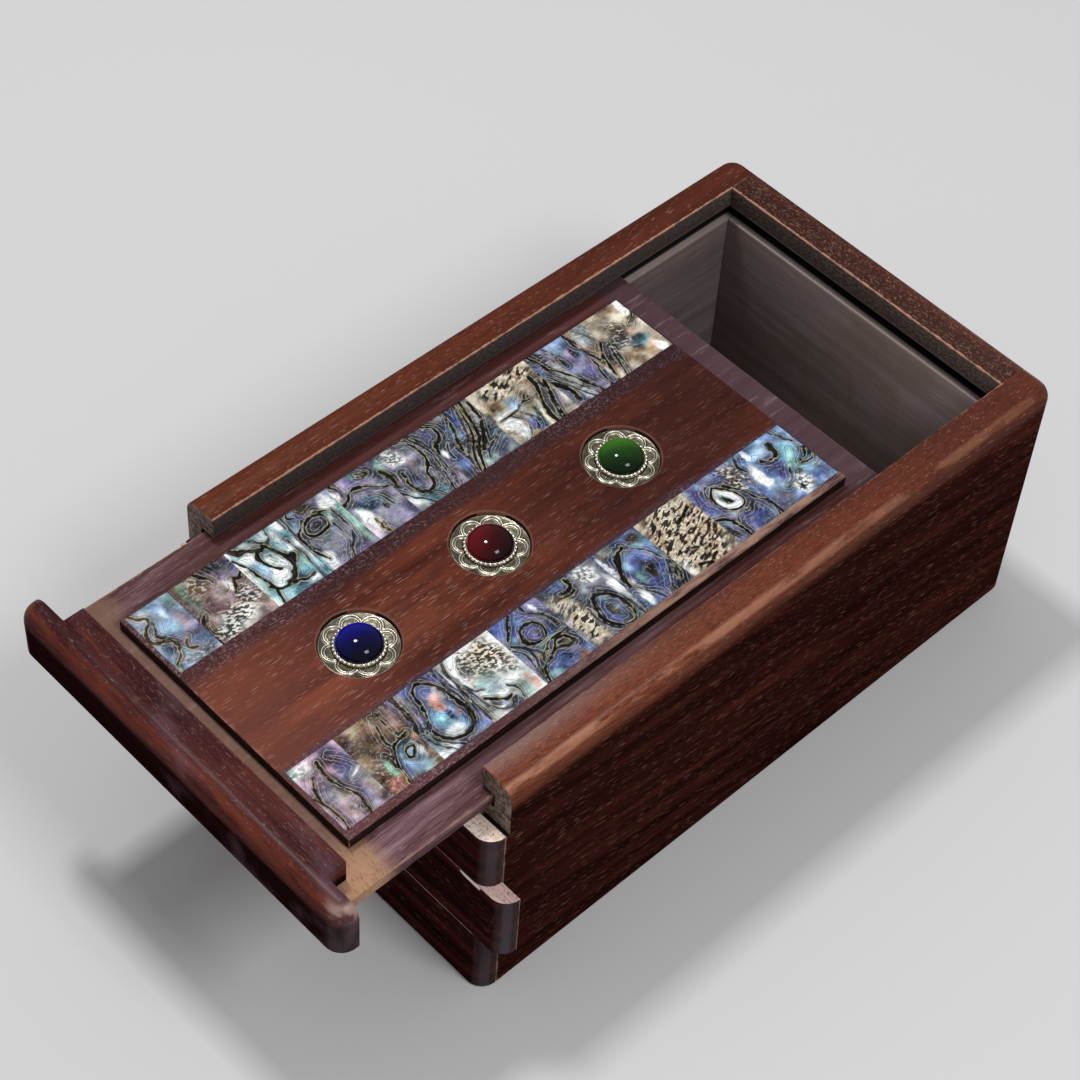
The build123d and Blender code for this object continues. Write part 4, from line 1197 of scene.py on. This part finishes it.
def abalone():
    """Polished shell: the tile's own tints, dark layers and crust, with fine growth lines between them."""
    material, tree, place = new_material("polished_abalone")
    marks = {}
    for label in ("tint", "edge", "darkness", "grit", "flake"):
        source = add(tree, "Attribute", None, attribute_name=label)
        marks[label] = source.outputs["Color" if label == "tint" else "Fac"]
    wobble = mottle(tree, place, 900.0, 2.0)
    flat = vector(tree, "MULTIPLY", place, (1, 1, 0))
    swirl = mottle(tree, flat, 150.0, 2.0, 0.4)
    from_line = product(tree, calc(tree, "MINIMUM", marks["edge"], 3.0), 1.15)
    level = calc(tree, "FRACT", scaled(tree, swirl, 3.4, from_line))
    quiet = fade(tree, mottle(tree, flat, 200.0, 2.0), 0.44, 0.60)
    close = fade(tree, marks["edge"], 2.4, 0.8)
    depth = scaled(tree, close, 0.66, scaled(tree, quiet, 0.22, 0.06))
    olive = lay(tree, tone("1f232c"), "3b3315", fade(tree, mottle(tree, flat, 420.0, 2.0), 0.42, 0.58))
    colour = blend(tree, product(tree, fade(tree, level, 0.24, 0.0), depth), marks["tint"], olive)
    # Painted glare: the white terrace tops and silk streaks are partly the nacre's own silver, partly
    # painted highlight.
    colour = lay(tree, colour, "f1f6f4", fade(tree, level, 0.74, 0.98), scaled(tree, close, 0.24, 0.08))
    silk = streaks(tree, flat, (1700, 800, 0), 4.0, 0.7)
    colour = lay(tree, colour, "f4f7f6", fade(tree, silk, 0.54, 0.7), 0.27)
    colour = lay(tree, colour, "14171e", fade(tree, silk, 0.48, 0.32), 0.45)

    # The crust: fine black and silver grains, or coarse leaning ones
    slant = add(tree, "VectorRotate", {"Vector": flat, "Angle": math.radians(18)}).outputs[0]
    grains = streaks(tree, slant, (1450, 800, 0), 1.5, 0.6)
    dark = product(tree, fade(tree, grains, 0.525, 0.475), marks["grit"])
    colour = lay(tree, colour, "e3dfd3", fade(tree, grains, 0.54, 0.62), marks["grit"], 0.8)
    colour = lay(tree, colour, "15110f", dark, 0.92)
    leaning = add(tree, "VectorRotate", {"Vector": place, "Angle": math.radians(-24)}).outputs[0]
    coarse = streaks(tree, leaning, (1300, 460, 700), 2.0, 0.5)
    creamy = product(tree, fade(tree, coarse, 0.5, 0.58), marks["flake"])
    pits = product(tree, fade(tree, coarse, 0.49, 0.44), marks["flake"])
    cream = [(0.3, "947a60"), (0.5, "c3b296"), (0.7, "ece7db")]
    shade = shades(tree, mottle(tree, place, 1300.0, 2.0), cream)
    colour = blend(tree, calc(tree, "MINIMUM", creamy, 1.0), colour, shade)
    colour = lay(tree, colour, "17110e", calc(tree, "MINIMUM", pits, 0.96))

    # The drawn lines, nearly black and edged with a gilt glint
    rough_edge = sway(tree, marks["edge"], wobble, 0.35)
    colour = lay(tree, colour, "bdb27c", fade(tree, rough_edge, 0.02, 0.1),
                 fade(tree, rough_edge, 0.42, 0.16), marks["darkness"], fade(tree, wobble, 0.42, 0.6), 0.5)
    ink = product(tree, fade(tree, rough_edge, 0.07, -0.05), marks["darkness"])
    colour = lay(tree, colour, "0c0a09", ink)
    hollow = calc(tree, "MAXIMUM", ink, calc(tree, "MAXIMUM", dark, calc(tree, "MINIMUM", pits, 1.0)))
    height = scaled(tree, level, 0.3, product(tree, hollow, -1.0))
    plug(tree, tree.nodes["Principled BSDF"], {
        "Base Color": colour,
        "Roughness": scaled(tree, hollow, 0.25, 0.2),
        "Specular IOR Level": 0.03,
        "Coat Weight": 0.13,
        "Coat Roughness": 0.12,
        "Normal": bumps(tree, height, 0.08 * mm, 0.7),
    })
    return material


shell = abalone()
for count, (node, drawn) in enumerate(shell_tiles.items()):
    finish(shell_tile(node, 100 + 20 * count, drawn), "lid", "shell", shell)


# Settings. Three glass cabochons, each in a collar with a ring of beads, soldered on a disc that is
# stamped with eight double-wired petals. The metal is a pale old silver, and the discs are glued in
# the panel's holes. Sizes are in mm.
bead_count = 34
bead_ring = 5.36
bead_radius = 0.385
bead_height = 0.78
collar_inner = 5.0
collar_profile = [(0, 0), (0, 0.8), (0.06, 0.9), (0.14, 0.88), (0.22, 0.7), (0.38, 0.4), (0.6, 0.22),
                  (0.6, 0), (0, 0)]
petal_count = 8
petal_ring = 5.55
petal_reach = 2.35
wire_gap = 0.55
disc_inner = 4.6
collar_seat = 5.7
ground_rise = 0.20
girdle_height = 0.85
silver_tones = [(0.05, "3a3629"), (0.30, "6f6a59"), (0.55, "b2ab95"), (0.82, "fbf6ea")]


def turned(name, profile, centre, steps=96):
    """A round piece from its outline, as pairs of radius and height; radius 0 closes it."""
    points, rings, faces = [], [], []
    for radius, height in profile:
        if radius < 0.001:
            rings.append([len(points)] * steps)
            points.append((centre.x / mm, centre.y / mm, height))
            continue
        rings.append(range(len(points), len(points) + steps))
        for k in range(steps):
            angle = 2 * math.pi * k / steps
            points.append((centre.x / mm + radius * math.cos(angle),
                           centre.y / mm + radius * math.sin(angle), height))
    for below, above in zip(rings, rings[1:]):
        for k in range(steps):
            n = (k + 1) % steps
            face = list(dict.fromkeys([below[k], below[n], above[n], above[k]]))
            if len(face) > 2:
                faces.append(face)
    return placed(name, smooth_mesh(name, points, faces))


def flower_disc(name, node, turn):
    """The stamped disc: a ring-shaped sheet whose petals are two raised wires each."""
    low, high = (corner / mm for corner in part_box(node))
    centre, outer = (low + high) / 2, (high.x - low.x) / 2
    around, across = 384, 34
    angle, radius = np.meshgrid(2 * np.pi * np.arange(around) / around,
                                np.linspace(disc_inner, outer, across))
    x, y = radius * np.cos(angle), radius * np.sin(angle)
    edge = np.full(x.shape, 9.0)
    for k in range(petal_count):
        at = math.radians(turn + 360 / petal_count * k)
        gap = np.hypot(x - petal_ring * math.cos(at), y - petal_ring * math.sin(at)) - petal_reach
        edge = np.minimum(edge, gap)
    wires = 0.40 * np.exp(-(edge / 0.15) ** 2) + 0.28 * np.exp(-((edge + wire_gap) / 0.12) ** 2)
    bowl = 0.06 * np.clip((-edge - wire_gap) / 0.9, 0, 1)
    lip = 0.10 * np.clip(1 - np.abs(radius - outer + 0.22) / 0.2, 0, 1)
    dish = 0.32 * np.clip((radius - collar_seat) / (outer - collar_seat), 0, 1)
    grain = 0.015 * cloud(x + 20, y + 20, 0.9, 7)
    stamped = ground_rise + dish + wires + bowl + lip + grain
    z = high.z + np.where(radius < collar_seat, -0.03, stamped)
    top = np.stack([centre.x + x, centre.y + y, z], axis=-1).reshape(-1, 3)
    number = np.arange(len(top)).reshape(across, around)
    following = np.roll(number, -1, axis=1)
    quads = np.stack([number[:-1], number[1:], following[1:], following[:-1]], axis=-1)
    faces = quads.reshape(-1, 4).tolist()
    points = top.tolist()
    for ring, flip in ((number[0], True), (number[-1], False)):
        start = len(points)
        points += [[*point[:2], low.z] for point in top[ring]]
        for k in range(around):
            n = (k + 1) % around
            face = [int(ring[k]), start + k, start + n, int(ring[n])]
            faces.append(face[::-1] if flip else face)
    first = len(top)
    second = first + around
    for k in range(around):
        n = (k + 1) % around
        faces.append((first + k, first + n, second + n, second + k))
    mesh = smooth_mesh(name, points, faces)
    relief = np.clip(((z - dish).ravel() - high.z - 0.10) / 0.5, 0, 1)
    keep(mesh, "relief", np.concatenate([relief, np.zeros(2 * around)]))
    piece = placed(name, mesh)
    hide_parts(node)
    return piece


def beaded_bezel(name, node):
    """The collar, with a ring of beads round it."""
    low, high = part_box(node)
    centre, foot = (low + high) / 2, low.z / mm
    profile = [(collar_inner + out, foot + up) for out, up in collar_profile]
    collar = turned(name, profile, centre)
    form = bmesh.new()
    form.from_mesh(collar.data)
    for k in range(bead_count):
        angle = 2 * math.pi * k / bead_count
        size = bead_radius + 0.02 * math.sin(7.3 * k)
        at = Vector((bead_ring * mm * math.cos(angle), bead_ring * mm * math.sin(angle), bead_height * mm))
        squeeze = Matrix.Rotation(angle, 4, "Z") @ Matrix.Diagonal((0.92, 1.0, 1.05, 1))
        shift = Matrix.Translation(Vector((centre.x, centre.y, low.z)) + at)
        bmesh.ops.create_icosphere(form, subdivisions=2, radius=size * mm, matrix=shift @ squeeze)
    for face in form.faces:
        face.smooth = True
    form.to_mesh(collar.data)
    form.free()
    heights = np.array([point.co.z for point in collar.data.vertices]) / mm - foot
    keep(collar.data, "relief", np.clip(heights, 0, 1))
    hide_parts(node)
    return collar


def old_silver():
    """Pale metal, yellowed and dark in its hollows, bright where it is rubbed."""
    material, tree, place = new_material("old_silver")
    relief = add(tree, "Attribute", None, attribute_name="relief").outputs["Fac"]
    stain = mottle(tree, place, 700.0, 4.0, 0.7)
    scratch = streaks(tree, place, (5000, 1500, 3000), 2.0)
    plug(tree, tree.nodes["Principled BSDF"], {
        "Base Color": shades(tree, sway(tree, relief, stain, 0.5), silver_tones),
        "Metallic": 0.85,
        "Roughness": scaled(tree, stain, 0.25, 0.18),
        "Normal": bumps(tree, scratch, 0.03 * mm, 0.5),
    })
    return material


def stone_glass(name, node, tones, toward):
    """Coloured glass, dark on the side where light enters and lit from within on the other."""
    material, tree, place = new_material(name)
    low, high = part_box(node)
    centre = Vector(((low.x + high.x) / 2, (low.y + high.y) / 2, low.z))
    local = vector(tree, "MULTIPLY", vector(tree, "SUBTRACT", place, centre), (200, 200, 200))
    aim = add(tree, "VectorMath", {0: local, 1: toward}, operation="DOT_PRODUCT").outputs["Value"]
    level = sway(tree, aim, mottle(tree, place, 1500.0, 4.0, 0.7), 0.3)
    level = sway(tree, level, mottle(tree, place, 350.0, 2.0), 0.3)
    colour = shades(tree, scaled(tree, level, 0.5, 0.5), list(zip((0.15, 0.5, 0.88), tones)))
    plug(tree, tree.nodes["Principled BSDF"], {
        "Base Color": colour,
        "Roughness": 0.12,
        "Specular IOR Level": 0.0,
        "Coat Weight": 0.4,
        "Coat Roughness": 0.06,
    })
    return material


def cabochon(name, node):
    """The domed stone."""
    low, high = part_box(node)
    foot, girdle = low.z / mm, low.z / mm + girdle_height
    rise, radius = high.z / mm - girdle, (high.x - low.x) / 2 / mm
    profile = [(0, foot), (radius - 0.15, foot)]
    for k in range(24):
        angle = math.radians(90 * k / 24)
        profile.append((radius * 1.02 * math.cos(angle), girdle + rise * math.sin(angle)))
    profile.append((0, girdle + rise))
    piece = turned(name, profile, (low + high) / 2)
    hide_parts(node)
    return piece


silver = old_silver()
for name, turn, stone, tones, toward in (
    ("front", 22.5, "blue", ("04051a", "030341", "0a0a88"), (-0.95, 0.25, 0.1)),
    ("middle", 0.0, "red", ("160205", "36040a", "5e0b14"), (-0.75, -0.55, 0.1)),
    ("back", 14.0, "green", ("0a1d09", "193c0d", "3b7719"), (-0.85, 0.45, 0.1)),
):
    disc = flower_disc(name + "_petalled_disc", name + "_flower_disc", turn)
    finish(disc, "lid", "setting_metal", silver)
    finish(beaded_bezel(name + "_collar", name + "_beaded_bezel"), "lid", "setting_metal", silver)
    dome = cabochon(stone + "_dome", name + "_cabochon")
    finish(dome, "lid", stone + "_stone", stone_glass(stone + "_glass", name + "_cabochon", tones, toward))


# Floor, light and camera. A plain pale floor under two soft lamps and an even white sky, and a camera at
# the photograph's place, which was solved from the box's corners in it.
floor_reach = 3.0
paper_colour = (0.66, 0.66, 0.67, 1)
sky_strength = 0.42
lamp_aim = Vector((0, 0, 0.04))
camera_place = Vector((256.014, -296.020, 502.214)) * mm
camera_azimuth, camera_elevation, camera_roll = 43.298, 50.050, -4.357
camera_lens = 90.94


def floor():
    """The floor that the box stands on."""
    reach = floor_reach
    mesh = bpy.data.meshes.new("studio_floor")
    mesh.from_pydata([(-reach, -reach, 0), (reach, -reach, 0), (reach, reach, 0), (-reach, reach, 0)], [],
                     [(0, 1, 2, 3)])
    plane = placed("studio_floor", mesh)
    material = bpy.data.materials.new("pale_paper")
    material.use_nodes = True
    surface = material.node_tree.nodes["Principled BSDF"]
    surface.inputs["Base Color"].default_value = paper_colour
    surface.inputs["Roughness"].default_value = 0.8
    plane.data.materials.append(material)


def softbox(name, place, size, power):
    """A square lamp, aimed at the box."""
    light = bpy.data.lights.new(name, "AREA")
    light.shape = "SQUARE"
    light.size = size
    light.energy = power
    lamp = placed(name, light)
    lamp.location = place
    lamp.rotation_euler = (lamp_aim - Vector(place)).to_track_quat("-Z", "Y").to_euler()


floor()
softbox("high_left_lamp", place=(-0.335, -0.01, 1.0), size=0.12, power=4.4)
softbox("right_lamp", place=(0.62, -0.02, 0.88), size=0.26, power=3.6)

world = bpy.data.worlds.new("studio")
world.use_nodes = True
sky = world.node_tree.nodes["Background"]
sky.inputs["Color"].default_value = (1, 1, 1, 1)
sky.inputs["Strength"].default_value = sky_strength
bpy.context.scene.world = world
bpy.context.scene.view_settings.view_transform = "Standard"

lens = bpy.data.cameras.new("studio_camera")
lens.lens = camera_lens
lens.sensor_width = 36.0
lens.clip_start = 0.01
camera = placed("studio_camera", lens)
turn = Matrix.Rotation(math.radians(camera_azimuth), 4, "Z")
tilt = Matrix.Rotation(math.radians(90 - camera_elevation), 4, "X")
roll = Matrix.Rotation(math.radians(-camera_roll), 4, "Z")
camera.matrix_world = Matrix.Translation(camera_place) @ turn @ tilt @ roll
bpy.context.scene.camera = camera
